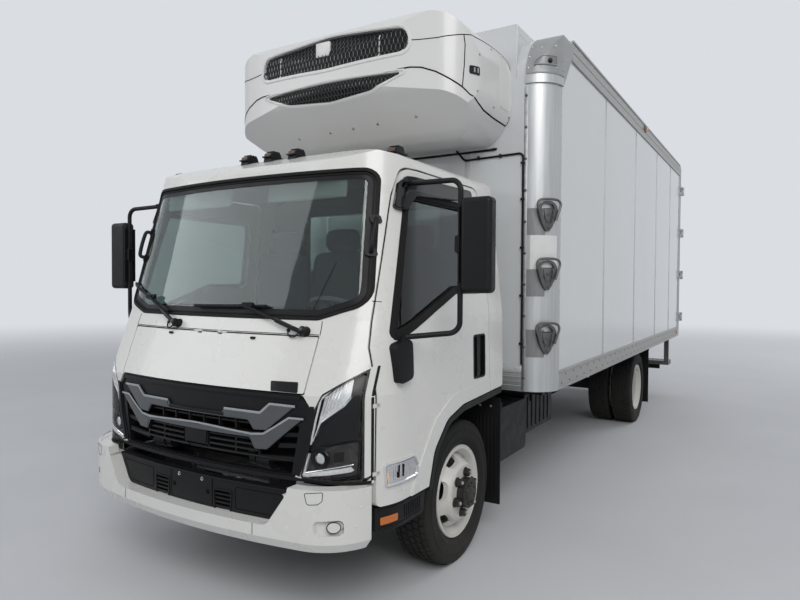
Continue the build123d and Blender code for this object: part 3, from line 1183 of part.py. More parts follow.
HALF_TYRE = TYRE_WIDTH / 2
HALF_RIM = RIM_WIDTH / 2
BEAD_EDGE = RIM_RADIUS + RIM_FLANGE
TYRE_ROWS = (
    (-HALF_RIM + 8.3, RIM_RADIUS + 0.3, 0), (-HALF_RIM + 8.3, BEAD_EDGE, 0), (-HALF_TYRE, RIM_RADIUS + 76, 60),
    (-HALF_TYRE + 10, TYRE_RADIUS, 24), (HALF_TYRE - 10, TYRE_RADIUS, 24), (HALF_TYRE, RIM_RADIUS + 76, 60),
    (HALF_RIM - 8.3, BEAD_EDGE, 0), (HALF_RIM - 8.3, RIM_RADIUS + 0.3, 0),
)
BARREL_WALL = 9.0
WELL_DROP = 30.0
WELL_RADIUS = RIM_RADIUS - WELL_DROP
BARREL_ROWS = (
    (-HALF_RIM, BEAD_EDGE, 0), (-HALF_RIM, RIM_RADIUS - BARREL_WALL, 0), (-HALF_RIM + 44, WELL_RADIUS - BARREL_WALL, 20),
    (HALF_RIM - 44, WELL_RADIUS - BARREL_WALL, 20), (HALF_RIM, RIM_RADIUS - BARREL_WALL, 0), (HALF_RIM, BEAD_EDGE, 0),
    (HALF_RIM - 8, BEAD_EDGE, 0), (HALF_RIM - 8, RIM_RADIUS, 0), (HALF_RIM - 42, WELL_RADIUS, 16),
    (-HALF_RIM + 42, WELL_RADIUS, 16), (-HALF_RIM + 8, RIM_RADIUS, 0), (-HALF_RIM + 8, BEAD_EDGE, 0),
)
DISC_ROWS = (
    (DISC_OFFSET, 62, 0), (DISC_OFFSET, 158, 24), (48, WELL_RADIUS - 5, 30), (20, WELL_RADIUS - 5, 0),
    (20, WELL_RADIUS - 5 - DISC_WALL, 0), (48 - DISC_WALL, WELL_RADIUS - 5 - DISC_WALL, 16),
    (DISC_OFFSET - DISC_WALL, 150, 16), (DISC_OFFSET - DISC_WALL, 62, 0),
)
VENT_CIRCLE = 187.0
VENT_LENGTH = 108.0
VENT_DEPTH = 38.0
VENT_START = 47.0
NUT_START = 17.0
NUT_HEIGHT = 28.0


def disc_wheel():
    """One disc wheel at the origin, its disc bulging to +X: barrel, and disc with its hand holes."""
    with BuildPart() as wheel:
        add(turned(DISC_ROWS))
        with BuildSketch(Plane.YZ):
            with PolarLocations(VENT_CIRCLE, LUG_COUNT, start_angle=VENT_START):
                RectangleRounded(VENT_DEPTH, VENT_LENGTH, 18)
        extrude(amount=DISC_OFFSET + 10, mode=Mode.SUBTRACT)
        add(turned(BARREL_ROWS))
    return wheel.part


def hub_with_nuts(hub_low, hub_high, nut_face, bore_end):
    """Hub about the X axis with a ring of wheel nuts, bored for the spindle up to a depth."""
    with BuildPart() as hub:
        with BuildSketch(Plane.YZ.offset(hub_low)):
            Circle(HUB_RADIUS)
        extrude(amount=hub_high - hub_low)
        with BuildSketch(Plane.YZ.offset(nut_face - DISC_WALL - 20)):
            Circle(LUG_CIRCLE / 2 + 30)
        extrude(amount=20)
        with BuildSketch(Plane.YZ.offset(nut_face)):
            with PolarLocations(LUG_CIRCLE / 2, LUG_COUNT, start_angle=NUT_START):
                RegularPolygon(LUG_RADIUS, 6)
        extrude(amount=NUT_HEIGHT)
        with BuildSketch(Plane.YZ.offset(hub_low)):
            Circle(SPINDLE_RADIUS + SPINDLE_GAP)
        extrude(amount=bore_end - hub_low, mode=Mode.SUBTRACT)
    return hub.part


def turn_round(part):
    """The same wheel facing the other way."""
    return part.mirror(Plane.YZ)


wheel_disc = disc_wheel()
front_hub = hub_with_nuts(KINGPIN_X + 72 - FRONT_TRACK / 2, DISC_OFFSET + FRONT_HUB_OUT, DISC_OFFSET, DISC_OFFSET + 31)
with BuildPart() as front_rim:
    add(wheel_disc)
    add(front_hub)
rear_hub = hub_with_nuts(-215, REAR_HUB_OUT + 22, DISC_WALL, REAR_HUB_OUT + 1)
with BuildPart() as rear_rim_pair:
    add(turn_round(wheel_disc).moved(Location((DUAL_SPACING / 2, 0, 0))))
    add(wheel_disc.moved(Location((-DUAL_SPACING / 2, 0, 0))))
    add(rear_hub)
tyre = turned(TYRE_ROWS)
with BuildPart() as tyre_pair:
    for offset in (-DUAL_SPACING / 2, DUAL_SPACING / 2):
        add(tyre.moved(Location((offset, 0, 0))))
print("rims", [round(s.volume / 1e6, 2) for s in front_rim.part.solids()], [round(s.volume / 1e6, 2) for s in rear_rim_pair.part.solids()])
WHEELS = (
    ("tyre_front_", tyre, FRONT_TRACK, FRONT_AXLE), ("rim_front_", front_rim.part, FRONT_TRACK, FRONT_AXLE),
    ("tyres_rear_", tyre_pair.part, REAR_TRACK, REAR_AXLE), ("rims_rear_", rear_rim_pair.part, REAR_TRACK, REAR_AXLE),
)
for name, piece, track, axle in WHEELS:
    placed = piece.moved(Location((track / 2, axle, TYRE_RADIUS)))
    save(placed, name + "left")
    save(flip(placed), name + "right")

# Side steps, tanks, mudflaps and rear step, hung on the frame
STEP_ROWS = ((-880, 452, 20), (-880, CAB_BOTTOM - 8, 6), (-500, CAB_BOTTOM - 8, 6), (-520, 452, 20))
with BuildPart() as side_steps:
    step = keep(prism_x(STEP_ROWS, 700, CAB_HALF_WIDTH), cab_form(8))
    bracket = prism_x(((-720, 560, 0), (-720, FRAME_TOP - 60, 0), (-660, FRAME_TOP - 60, 0), (-660, 560, 0)), 700, 760)
    arm = slab((HALF_FRAME, 760), (station(-720), station(-660)), (FRAME_BOTTOM + 20, FRAME_BOTTOM + 80))
    for piece in (step, cut(bracket, slab((600, 900), (station(-800), station(-600)), (FRAME_BOTTOM + 80, 900))), arm):
        add(piece)
        add(flip(piece))
print("steps", [round(s.volume / 1e3) for s in side_steps.part.solids()])
save(side_steps.part, "side_steps")
with BuildPart() as fuel_tank:
    add(prism_x(((1050, 420, 60), (1050, 800, 60), (1900, 800, 60), (1900, 420, 60)), -880, -HALF_FRAME))
save(fuel_tank.part, "fuel_tank")
with BuildPart() as service_tank:
    add(prism_x(((560, 400, 40), (560, 760, 40), (1180, 760, 40), (1180, 400, 40)), HALF_FRAME, 900))
    with BuildSketch(Plane.XY.offset(750)):
        with Locations((820, station(640))):
            Circle(34)
    extrude(amount=56)
save(service_tank.part, "service_tank")
with BuildPart() as battery_box:
    add(prism_x(((1260, 470, 20), (1260, 780, 20), (1900, 780, 20), (1900, 470, 20)), HALF_FRAME, 860))
save(battery_box.part, "battery_box")
with BuildPart() as mudflaps:
    for side in (1, -1):
        add(slab((side * 690, side * 985), (station(482), station(490)), (190, 870)))
        add(slab((side * HALF_FRAME, side * 985), (station(490), station(516)), (790, 840)))
        add(slab((side * 590, side * 1090), (REAR_AXLE + 520, REAR_AXLE + 528), (150, BODY_BOTTOM)))
        add(slab((side * HALF_FRAME, side * 1090), (REAR_AXLE + 528, REAR_AXLE + 556), (BODY_BOTTOM - 90, BODY_BOTTOM - 30)))
save(mudflaps.part, "mudflaps")
STEP_LEVEL = 505.0
with BuildPart() as rear_step:
    add(slab((-1100, 1100), (DOOR_FRONT_FACE - 60, STEP_REAR), (STEP_LEVEL - 55, STEP_LEVEL)))
    for side in (1, -1):
        y = (DOOR_FRONT_FACE - 60, DOOR_FRONT_FACE - 20)
        add(slab((side * HALF_FRAME, side * (HALF_FRAME + 60)), y, (STEP_LEVEL, FRAME_TOP)))
        add(slab((side * 1040, side * 1100), y, (STEP_LEVEL, BODY_BOTTOM)))
save(rear_step.part, "rear_step")

# On the body's front corner: folding step loops and the wall's cable
LOOP_HEIGHTS = (1253.0, 1677.0, 2066.0)
LOOP_ANGLE = 315.0
with BuildPart() as step_loops:
    turn = math.radians(LOOP_ANGLE)
    out = Vector(math.cos(turn), math.sin(turn), 0)
    foot = Vector(POST_X, POST_Y, 0) + out * (POST_RADIUS - 1)
    for height in LOOP_HEIGHTS:
        plane = Plane(origin=foot + Vector(0, 0, height), x_dir=(-out.Y, out.X, 0), z_dir=out)
        with BuildSketch(plane):
            with BuildLine():
                FilletPolyline((-88, 78), (88, 78), (48, -60), (0, -128), (-48, -60), radius=[60, 60, 12, 14, 12], close=True)
            make_face()
            with BuildLine():
                FilletPolyline((-66, 62), (66, 62), (30, -8), (-30, -8), radius=[32, 32, 10, 10], close=True)
            make_face(mode=Mode.SUBTRACT)
        extrude(amount=24)
    add(rod((POST_X, POST_Y, 1000), (POST_X, POST_Y, 2300), POST_RADIUS), mode=Mode.SUBTRACT)
save(step_loops.part, "step_loops")
CABLE_RADIUS = 7.0
CABLE_OUT = BODY_FRONT - CABLE_RADIUS - 0.3
with BuildPart() as wall_cable:
    with BuildLine() as route:
        FilletPolyline(
            (529, CABLE_OUT, 2529), (592, CABLE_OUT, 2455), (1020, CABLE_OUT, 2466), (1022, CABLE_OUT, 1060),
            radius=[40, 30],
        )
    with BuildSketch(Plane(origin=route.line @ 0, z_dir=route.line % 0)):
        Circle(CABLE_RADIUS)
    sweep()
    add(unit_outer, mode=Mode.SUBTRACT)
save(wall_cable.part, "wall_cable")
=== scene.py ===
import math

import bmesh
import bpy
from mathutils import Matrix, Vector
from mathutils.bvhtree import BVHTree
from mathutils.geometry import delaunay_2d_cdt


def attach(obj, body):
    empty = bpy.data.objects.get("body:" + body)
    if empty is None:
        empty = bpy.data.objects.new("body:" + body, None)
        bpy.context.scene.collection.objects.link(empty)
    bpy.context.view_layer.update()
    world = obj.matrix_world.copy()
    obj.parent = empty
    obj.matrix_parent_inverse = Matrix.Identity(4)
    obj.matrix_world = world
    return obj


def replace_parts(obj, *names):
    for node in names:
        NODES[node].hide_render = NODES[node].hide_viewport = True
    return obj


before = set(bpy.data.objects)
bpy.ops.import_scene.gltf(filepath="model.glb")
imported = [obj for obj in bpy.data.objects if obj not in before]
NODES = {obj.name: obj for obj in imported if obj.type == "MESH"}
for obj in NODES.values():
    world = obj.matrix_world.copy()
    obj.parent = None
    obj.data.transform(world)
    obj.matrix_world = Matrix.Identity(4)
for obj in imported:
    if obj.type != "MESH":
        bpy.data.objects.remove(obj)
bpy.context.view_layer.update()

SIDES = ((1, "left"), (-1, "right"))

# Places that the CAD source names, in metres
FRONT_AXLE = -2.759
REAR_AXLE = 1.711
BODY_FRONT = -2.004
DOOR_BACK = 3.854
HALF_BODY = 1.219
HALF_SKIN = 1.212
WHEEL_LEVEL = 0.405
POST_RADIUS = 0.186
POST_X, POST_Y = HALF_BODY - POST_RADIUS, BODY_FRONT + POST_RADIUS
# Columns: height, half width, distance of the face ahead of the axle, corner radius
CAB_LEVELS = (
    (0.400, 0.998, 1.105, 0.330), (1.083, 0.998, 1.105, 0.330), (1.420, 0.992, 0.975, 0.320),
    (2.172, 0.906, 0.785, 0.290), (2.385, 0.881, 0.731, 0.280),
)
BUMPER_LEVELS = ((0.2, 0.962, 1.200, 0.300), (0.9, 0.962, 1.200, 0.300))
INSERT_LEVELS = ((0.2, 0.892, 1.130, 0.265), (0.9, 0.892, 1.130, 0.265))
UNIT_LEVELS = ((2.4, 0.932, 0.060, 0.240), (3.3, 0.932, 0.060, 0.240))
FACE_BOW, UNIT_BOW = 3.8, 3.2
DUST = (0.36, 0.33, 0.28, 1)
BACKDROP = (0.70, 0.73, 0.77, 1)


# Materials

def node(nt, kind, values=None, links=None, **settings):
    """A new shader node with its settings, its input values, and its inputs linked to other nodes' sockets."""
    made = nt.nodes.new("ShaderNode" + kind)
    for name, value in settings.items():
        setattr(made, name, value)
    for name, value in (values or {}).items():
        made.inputs[name].default_value = value
    for name, source in (links or {}).items():
        nt.links.new(source, made.inputs[name])
    return made


def material(name, colour, rough=0.5, metal=0.0, coat=0.0, vary=0.04, scale=6.0, stretch=(1, 1, 1), grain=0.0,
             grain_scale=400.0, rough_vary=0.08, dust=0.0, dust_top=0.9, waves=0.0, specular=0.5):
    """A procedural finish: colour that varies a little, roughness to match, fine grain, and dust low down."""
    made = bpy.data.materials.new(name)
    made.use_nodes = True
    made.diffuse_color = (*colour, 1)
    nt = made.node_tree
    shader = nt.nodes["Principled BSDF"]
    for key, value in (("Metallic", metal), ("Coat Weight", coat), ("Coat Roughness", 0.06),
                       ("Specular IOR Level", specular)):
        shader.inputs[key].default_value = value
    where = node(nt, "TexCoord").outputs["Object"]
    place = node(nt, "Mapping", {"Scale": stretch}, {"Vector": where}).outputs["Vector"]

    def noise(source, size, detail):
        return node(nt, "TexNoise", {"Scale": size, "Detail": detail}, {"Vector": source}).outputs["Fac"]

    cloud = noise(place, scale, 6.0)
    ramp = node(nt, "ValToRGB", links={"Fac": cloud})
    for stop, position, shade in zip(ramp.color_ramp.elements, (0.3, 0.7), (1 - vary, 1 + vary)):
        stop.position = position
        stop.color = (*(min(1.0, c * shade) for c in colour), 1)
    last = ramp.outputs["Color"]
    if dust > 0:
        height = node(nt, "SeparateXYZ", links={"Vector": where}).outputs["Z"]
        fade = node(nt, "MapRange", {"From Min": dust_top, "From Max": 0.1, "To Max": dust}, {"Value": height})
        share = node(nt, "Math", links={0: fade.outputs["Result"], 1: noise(where, 9.0, 8.0)}, operation="MULTIPLY")
        mix = node(nt, "Mix", {"B": DUST}, {"Factor": share.outputs["Value"], "A": last}, data_type="RGBA")
        last = mix.outputs["Result"]
    nt.links.new(last, shader.inputs["Base Color"])
    spread = node(nt, "MapRange", {"From Min": 0.3, "From Max": 0.7, "To Min": max(0.02, rough - rough_vary),
                                   "To Max": min(1.0, rough + rough_vary)}, {"Value": cloud})
    nt.links.new(spread.outputs["Result"], shader.inputs["Roughness"])
    normal = {}
    for strength, distance, source, size, detail in ((grain, 0.001, place, grain_scale, 2.0),
                                                     (waves, 0.02, where, 1.6, 1.0)):
        if strength > 0:
            links = {"Height": noise(source, size, detail), **normal}
            bump = node(nt, "Bump", {"Strength": strength, "Distance": distance}, links)
            normal = {"Normal": bump.outputs["Normal"]}
    for key, source in normal.items():
        nt.links.new(source, shader.inputs[key])
    return made


def glass(name, colour, ior=1.45):
    made = material(name, colour, 0.02, vary=0.03, scale=3.0, rough_vary=0.015)
    shader = made.node_tree.nodes["Principled BSDF"]
    shader.inputs["Transmission Weight"].default_value = 1.0
    shader.inputs["IOR"].default_value = ior
    return made


M = {
    "paint": material("cab_white", (0.70, 0.70, 0.675), 0.28, coat=0.35, vary=0.008, grain=0.01, grain_scale=900,
                      rough_vary=0.015, dust=0.025, dust_top=0.45),
    "panel": material("panel_white", (0.60, 0.62, 0.63), 0.14, coat=0.45, vary=0.02, scale=1.2, waves=0.14,
                      rough_vary=0.03, dust=0.10, dust_top=1.1),
    "cover": material("cover_white", (0.70, 0.70, 0.69), 0.32, coat=0.2, vary=0.015, scale=2.5, grain=0.02,
                      grain_scale=700, rough_vary=0.02),
    "aluminium": material("aluminium_sheet", (0.52, 0.53, 0.53), 0.40, 0.7, vary=0.09, scale=9, stretch=(5, 5, 0.25),
                          rough_vary=0.09, grain=0.04, grain_scale=160),
    "galvanised": material("galvanised_steel", (0.46, 0.47, 0.47), 0.45, 0.7, vary=0.18, scale=24, rough_vary=0.15,
                           grain=0.06, grain_scale=220, dust=0.4, dust_top=1.0),
    "chassis": material("chassis_black", (0.012, 0.012, 0.013), vary=0.3, scale=10, grain=0.1, grain_scale=300,
                        dust=0.12, specular=0.3),
    "iron": material("iron_grey", (0.10, 0.10, 0.105), 0.6, 0.3, vary=0.25, scale=12, grain=0.3, grain_scale=260,
                     dust=0.4),
    "black": material("black_plastic", (0.008, 0.008, 0.009), 0.45, vary=0.15, scale=12, grain=0.12,
                      grain_scale=1400, dust=0.06, dust_top=0.6, specular=0.2),
    "gloss_black": material("gloss_black", (0.004, 0.004, 0.005), 0.08, vary=0.1, specular=0.3),
    "deep": material("shadow_black", (0.004, 0.004, 0.004), 0.9, vary=0.1, specular=0.1),
    "grey": material("grey_plastic", (0.11, 0.11, 0.115), vary=0.06, grain=0.15, grain_scale=1100),
    "bar": material("dark_silver", (0.10, 0.105, 0.11), 0.33, 0.55, 0.2, 0.05, grain=0.02, grain_scale=1200),
    "bar_edge": material("silver_edge", (0.42, 0.43, 0.44), 0.28, 0.8, vary=0.05),
    "chrome": material("chrome_trim", (0.78, 0.78, 0.78), 0.09, 1.0, vary=0.03, rough_vary=0.04),
    "rubber": material("rubber_black", (0.009, 0.009, 0.009), 0.7, vary=0.15, grain=0.15, grain_scale=600,
                       specular=0.2),
    "tyre": material("tyre_black", (0.011, 0.011, 0.011), 0.72, vary=0.25, scale=16, grain=0.2, grain_scale=500,
                     dust=0.09, dust_top=0.8, specular=0.22),
    "wheel": material("wheel_white", (0.64, 0.63, 0.60), 0.38, coat=0.2, vary=0.05, scale=8, dust=0.35),
    "nut": material("nut_steel", (0.028, 0.026, 0.025), 0.5, 0.4, vary=0.25, scale=30, dust=0.15, specular=0.35),
    "cast": material("cast_grey", (0.13, 0.13, 0.128), 0.42, 0.6, vary=0.15, scale=20, grain=0.35, grain_scale=320),
    "cap": material("cap_grey", (0.34, 0.35, 0.35), 0.45, 0.3, vary=0.08, scale=9, grain=0.15, grain_scale=300),
    "seal": material("door_seal", (0.02, 0.02, 0.02), 0.6, vary=0.1, grain=0.1, grain_scale=500),
    "bolt": material("zinc_bolt", (0.50, 0.50, 0.49), 0.35, 0.9, vary=0.15, scale=40),
    "screen": glass("screen_glass", (0.60, 0.72, 0.69)),
    "side_glass": glass("side_glass", (0.15, 0.19, 0.185)),
    "lens": glass("clear_lens", (0.96, 0.96, 0.96), 1.14),
    "mirror_glass": material("mirror_glass", (0.85, 0.86, 0.88), 0.04, 1.0, vary=0.02, rough_vary=0.02),
    "visor": glass("smoked_visor", (0.05, 0.05, 0.05)),
    "visor_cloth": material("visor_cloth", (0.30, 0.30, 0.29), 0.8, vary=0.08, grain=0.3, grain_scale=700),
    "amber_pale": material("amber_pale", (0.80, 0.55, 0.32), 0.2, coat=0.5, vary=0.05),
    "post_plate": material("post_plate", (0.23, 0.235, 0.235), 0.45, 0.5, vary=0.10, scale=18, stretch=(4, 4, 0.5),
                           grain=0.06, grain_scale=220),
    "rail": material("rail_aluminium", (0.40, 0.40, 0.385), 0.42, 0.65, vary=0.12, scale=14, stretch=(4, 0.5, 4),
                     rough_vary=0.1, grain=0.05, grain_scale=200, dust=0.25, dust_top=1.1),
    "wire": material("mesh_wire", (0.07, 0.07, 0.072), 0.35, 0.5, vary=0.1),
    "amber": material("amber_lens", (0.55, 0.14, 0.012), 0.15, coat=0.6, vary=0.06, scale=60),
    "amber_dark": material("amber_dark", (0.085, 0.035, 0.012), 0.2, coat=0.3, vary=0.06, scale=60),
    "red": material("red_lens", (0.42, 0.012, 0.012), 0.15, coat=0.6, vary=0.06, scale=60),
    "pale_lens": material("pale_lens", (0.62, 0.63, 0.62), 0.16, coat=0.8, vary=0.1, scale=90, grain=0.3,
                          grain_scale=240),
    "reflector": material("lamp_reflector", (0.72, 0.72, 0.74), 0.12, 1.0, vary=0.08, scale=30),
    "lamp_house": material("lamp_housing", (0.030, 0.027, 0.025), 0.25, coat=0.1, vary=0.15, scale=20,
                           specular=0.35),
    "cloth": material("seat_cloth", (0.075, 0.075, 0.085), 0.9, vary=0.2, scale=240, grain=0.6, grain_scale=900,
                      specular=0.2),
    "blue": material("blue_cap", (0.03, 0.10, 0.35), 0.4, vary=0.08, grain=0.1),
    "sign": material("blank_sign", (0.75, 0.75, 0.74), 0.35, vary=0.03, scale=14, grain=0.05),
    "brake": material("brake_iron", (0.09, 0.075, 0.065), 0.7, 0.4, vary=0.3, scale=18, grain=0.4, grain_scale=200),
}

NODE_MATERIALS = {
    "chassis": "chassis_frame front_axle rear_axle knuckle_left knuckle_right",
    "iron": "engine_block driveline",
    "aluminium": "fuel_tank corner_posts",
    "rail": "box_rails",
    "black": "service_tank battery_box side_steps grille bumper_insert unit_meshes arch_liners wipers mirror_left "
             "mirror_right roof_lamps",
    "rubber": "mudflaps wall_cable",
    "paint": "front_bumper cab_shell front_lid door_left door_right",
    "galvanised": "rear_frame lock_rods_left lock_rods_right",
    "panel": "box_floor front_wall left_wall right_wall box_roof unit_spacer rear_door_left rear_door_right",
    "cap": "corner_caps",
    "cover": "unit_shell unit_belly",
    "cast": "step_loops rear_step",
    "screen": "cab_glass",
    "side_glass": "door_glass_left door_glass_right",
    "lamp_house": "headlamps",
    "grey": "dashboard",
    "cloth": "seats",
    "tyre": "tyre_front_left tyre_front_right tyres_rear_left tyres_rear_right",
    "wheel": "rim_front_left rim_front_right rims_rear_left rims_rear_right",
}
for key, names in NODE_MATERIALS.items():
    for name in names.split():
        NODES[name].data.materials.clear()
        NODES[name].data.materials.append(M[key])


# Shapes: every piece collects faces; close() makes one mesh of each, which rides on its body

OPEN = []


class Piece:
    def __init__(self, name, body, key, sharp=35):
        self.name, self.body, self.key, self.sharp = name, body, key, sharp
        self.verts, self.faces = [], []
        OPEN.append(self)

    def add(self, verts, faces):
        start = len(self.verts)
        self.verts.extend(Vector(v) for v in verts)
        self.faces.extend([start + i for i in face] for face in faces)

    def made(self):
        mesh = bpy.data.meshes.new(self.name)
        mesh.from_pydata([v[:] for v in self.verts], [], self.faces)
        form = bmesh.new()
        form.from_mesh(mesh)
        bmesh.ops.recalc_face_normals(form, faces=form.faces)
        form.to_mesh(mesh)
        form.free()
        mesh.shade_smooth()
        mesh.set_sharp_from_angle(angle=math.radians(self.sharp))
        mesh.materials.append(M[self.key])
        piece = bpy.data.objects.new(self.name, mesh)
        bpy.context.scene.collection.objects.link(piece)
        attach(piece, self.body)
        return piece


def pieces(body, sharp=35, suffix="", **keys):
    """Open pieces on a body, given as name=material key."""
    return [Piece(name + suffix, body, key, sharp) for name, key in keys.items()]


def close():
    """Every open piece becomes a mesh; gives them by name."""
    made = {piece.name: piece.made() for piece in OPEN}
    OPEN.clear()
    return made


def hull(piece, points):
    form = bmesh.new()
    for p in points:
        form.verts.new(p)
    bmesh.ops.convex_hull(form, input=form.verts)
    loose = [v for v in form.verts if not v.link_faces]
    bmesh.ops.delete(form, geom=loose, context="VERTS")
    form.verts.index_update()
    piece.add([v.co.copy() for v in form.verts], [[v.index for v in f.verts] for f in form.faces])
    form.free()


def block(piece, low, high, edge=0.003):
    """A box between two corners with its edges taken off."""
    middle = (Vector(low) + Vector(high)) / 2
    half = Vector([abs(b - a) / 2 for a, b in zip(low, high)])
    edge = min(edge, 0.45 * min(half))
    signs = [(x, y, z) for x in (-1, 1) for y in (-1, 1) for z in (-1, 1)]
    pulls = ((0, edge, edge), (edge, 0, edge), (edge, edge, 0))
    hull(piece, [middle + Vector([s * (h - p) for s, h, p in zip(sign, half, pull)])
                 for sign in signs for pull in pulls])


def frame_of(axis):
    axis = Vector(axis).normalized()
    side = axis.cross(Vector((0, 0, 1)) if abs(axis.z) < 0.9 else Vector((1, 0, 0))).normalized()
    return axis, side, axis.cross(side)


def circle(count, start=0.0):
    """Cosine and sine at even steps round a circle."""
    turns = [2 * math.pi * k / count + start for k in range(count)]
    return [(math.cos(a), math.sin(a)) for a in turns]


def turned(piece, rows, origin, axis, sides=32):
    """Rows of distance along the axis and radius, turned about it; a radius of nought closes an end."""
    axis, side, over = frame_of(axis)
    verts, rings = [], []
    for along, radius in rows:
        centre = Vector(origin) + axis * along
        spots = circle(sides) if radius > 1e-6 else [(0, 0)]
        rings.append([len(verts) + i % len(spots) for i in range(sides)])
        verts.extend(centre + (side * c + over * s) * radius for c, s in spots)
    faces = []
    for one, two in zip(rings, rings[1:]):
        for i in range(sides):
            j = (i + 1) % sides
            face = list(dict.fromkeys((one[i], one[j], two[j], two[i])))
            if len(face) > 2:
                faces.append(face)
    piece.add(verts, faces)


def bolt(piece, at, axis, radius=0.006, height=0.005):
    rows = ((-0.002, 0), (-0.002, radius), (height * 0.7, radius), (height, radius * 0.78), (height, 0))
    turned(piece, rows, at, axis, 6)


def rivet(piece, at, axis, radius, height, sides=8):
    rows = ((-0.001, radius), (height * 0.3, radius), (height * 0.8, radius * 0.65), (height, 0))
    turned(piece, rows, at, axis, sides)


def rivets(piece, start, end, count, axis, radius, height, sides=8):
    for i in range(count):
        rivet(piece, Vector(start).lerp(Vector(end), i / (count - 1)), axis, radius, height, sides)


def smooth_path(points, steps=5):
    """A curve through points, for a tube."""
    points = [Vector(p) for p in points]
    points = [points[0] * 2 - points[1], *points, points[-1] * 2 - points[-2]]
    out = []
    for p0, p1, p2, p3 in zip(points, points[1:], points[2:], points[3:]):
        for t in (k / steps for k in range(steps)):
            out.append(0.5 * ((2 * p1) + (p2 - p0) * t + (2 * p0 - 5 * p1 + 4 * p2 - p3) * t * t
                              + (3 * p1 - p0 - 3 * p2 + p3) * t ** 3))
    return out + [points[-2]]


def grid_faces(rows, sides, closed):
    """Faces between rings of vertices that follow one another."""
    return [[i * sides + k, i * sides + (k + 1) % sides, (i + 1) % rows * sides + (k + 1) % sides,
             (i + 1) % rows * sides + k] for i in range(rows if closed else rows - 1) for k in range(sides)]


def tube(piece, points, radius, sides=8, closed=False):
    points = [Vector(p) for p in points]
    count = len(points)
    verts, over = [], None
    for i, p in enumerate(points):
        before = points[i - 1] if i > 0 or closed else p
        after = points[(i + 1) % count] if i + 1 < count or closed else p
        axis = (after - before).normalized()
        if over is None:
            over = frame_of(axis)[2]
        over = (over - axis * over.dot(axis)).normalized()
        side = axis.cross(over)
        verts.extend(p + (side * c + over * s) * radius for c, s in circle(sides))
    faces = grid_faces(count, sides, closed)
    if not closed:
        faces += [list(range(sides)), [(count - 1) * sides + k for k in reversed(range(sides))]]
    piece.add(verts, faces)


def ring(piece, centre, radius, thickness, sides, count, normal=0):
    """A closed tube round a circle square to the X (0) or Y (1) axis."""
    spots = [(0, c, s) if normal == 0 else (c, 0, s) for c, s in circle(count)]
    tube(piece, [Vector(centre) + Vector(p) * radius for p in spots], thickness, sides, closed=True)


def prism(piece, outline, push):
    """A flat outline of places in space, pushed along a vector."""
    count = len(outline)
    verts = [Vector(p) for p in outline] + [Vector(p) + Vector(push) for p in outline]
    faces = [list(range(count)), [count + i for i in reversed(range(count))]]
    piece.add(verts, faces + [[i, (i + 1) % count, count + (i + 1) % count, count + i] for i in range(count)])


def rounded(rows, steps=5):
    """Rows of two places and a radius: the closed outline with its corners turned into arcs."""
    out = []
    for i, (u, v, radius) in enumerate(rows):
        p = Vector((u, v))
        a = Vector(rows[i - 1][:2]) - p
        b = Vector(rows[(i + 1) % len(rows)][:2]) - p
        angle = a.angle(b) / 2
        reach = min(radius / math.tan(angle), 0.49 * a.length, 0.49 * b.length)
        radius = reach * math.tan(angle)
        start, end = p + a.normalized() * reach, p + b.normalized() * reach
        centre = p + (a.normalized() + b.normalized()).normalized() * radius / math.sin(angle)
        out.extend(centre + (start.lerp(end, k / steps) - centre).normalized() * radius for k in range(steps + 1))
    return out


def line(rows, side=1):
    """A path given in millimetres on the left side."""
    return [(side * u / 1000, v / 1000) for u, v in rows]


def outline(rows, steps, side=1):
    """A rounded outline given in millimetres on the left side."""
    out = rounded([(u / 1000, v / 1000, radius / 1000) for u, v, radius in rows], steps)
    return out if side > 0 else [Vector((-p[0], p[1])) for p in reversed(out)]


def shrunk(rim, inset):
    """The outline drawn in towards its inside by a distance."""
    count = len(rim)
    area = sum(rim[i - 1][0] * rim[i][1] - rim[i][0] * rim[i - 1][1] for i in range(count))
    out = []
    for i in range(count):
        a = (Vector(rim[i]) - Vector(rim[i - 1])).normalized()
        b = (Vector(rim[(i + 1) % count]) - Vector(rim[i])).normalized()
        along = (a + b).normalized()
        mitre = max(0.6, along.dot(a))
        out.append(Vector(rim[i]) + Vector((-along[1], along[0])) * math.copysign(inset, area) / mitre)
    return out


def finer(path, step, closed=True):
    out = []
    count = len(path)
    for i in range(count if closed else count - 1):
        a, b = Vector(path[i]), Vector(path[(i + 1) % count])
        parts = max(1, int(math.ceil((b - a).length / step)))
        out.extend(a.lerp(b, k / parts) for k in range(parts))
    return out if closed else out + [Vector(path[-1])]


def inside(rim, u, v):
    found = False
    for a, b in zip([rim[-1], *rim], rim):
        if (a[1] > v) != (b[1] > v) and u < (b[0] - a[0]) * (v - a[1]) / (b[1] - a[1]) + a[0]:
            found = not found
    return found


def limits(rim):
    """Least and greatest of both places of an outline."""
    return [f(p[k] for p in rim) for k in (0, 1) for f in (min, max)]


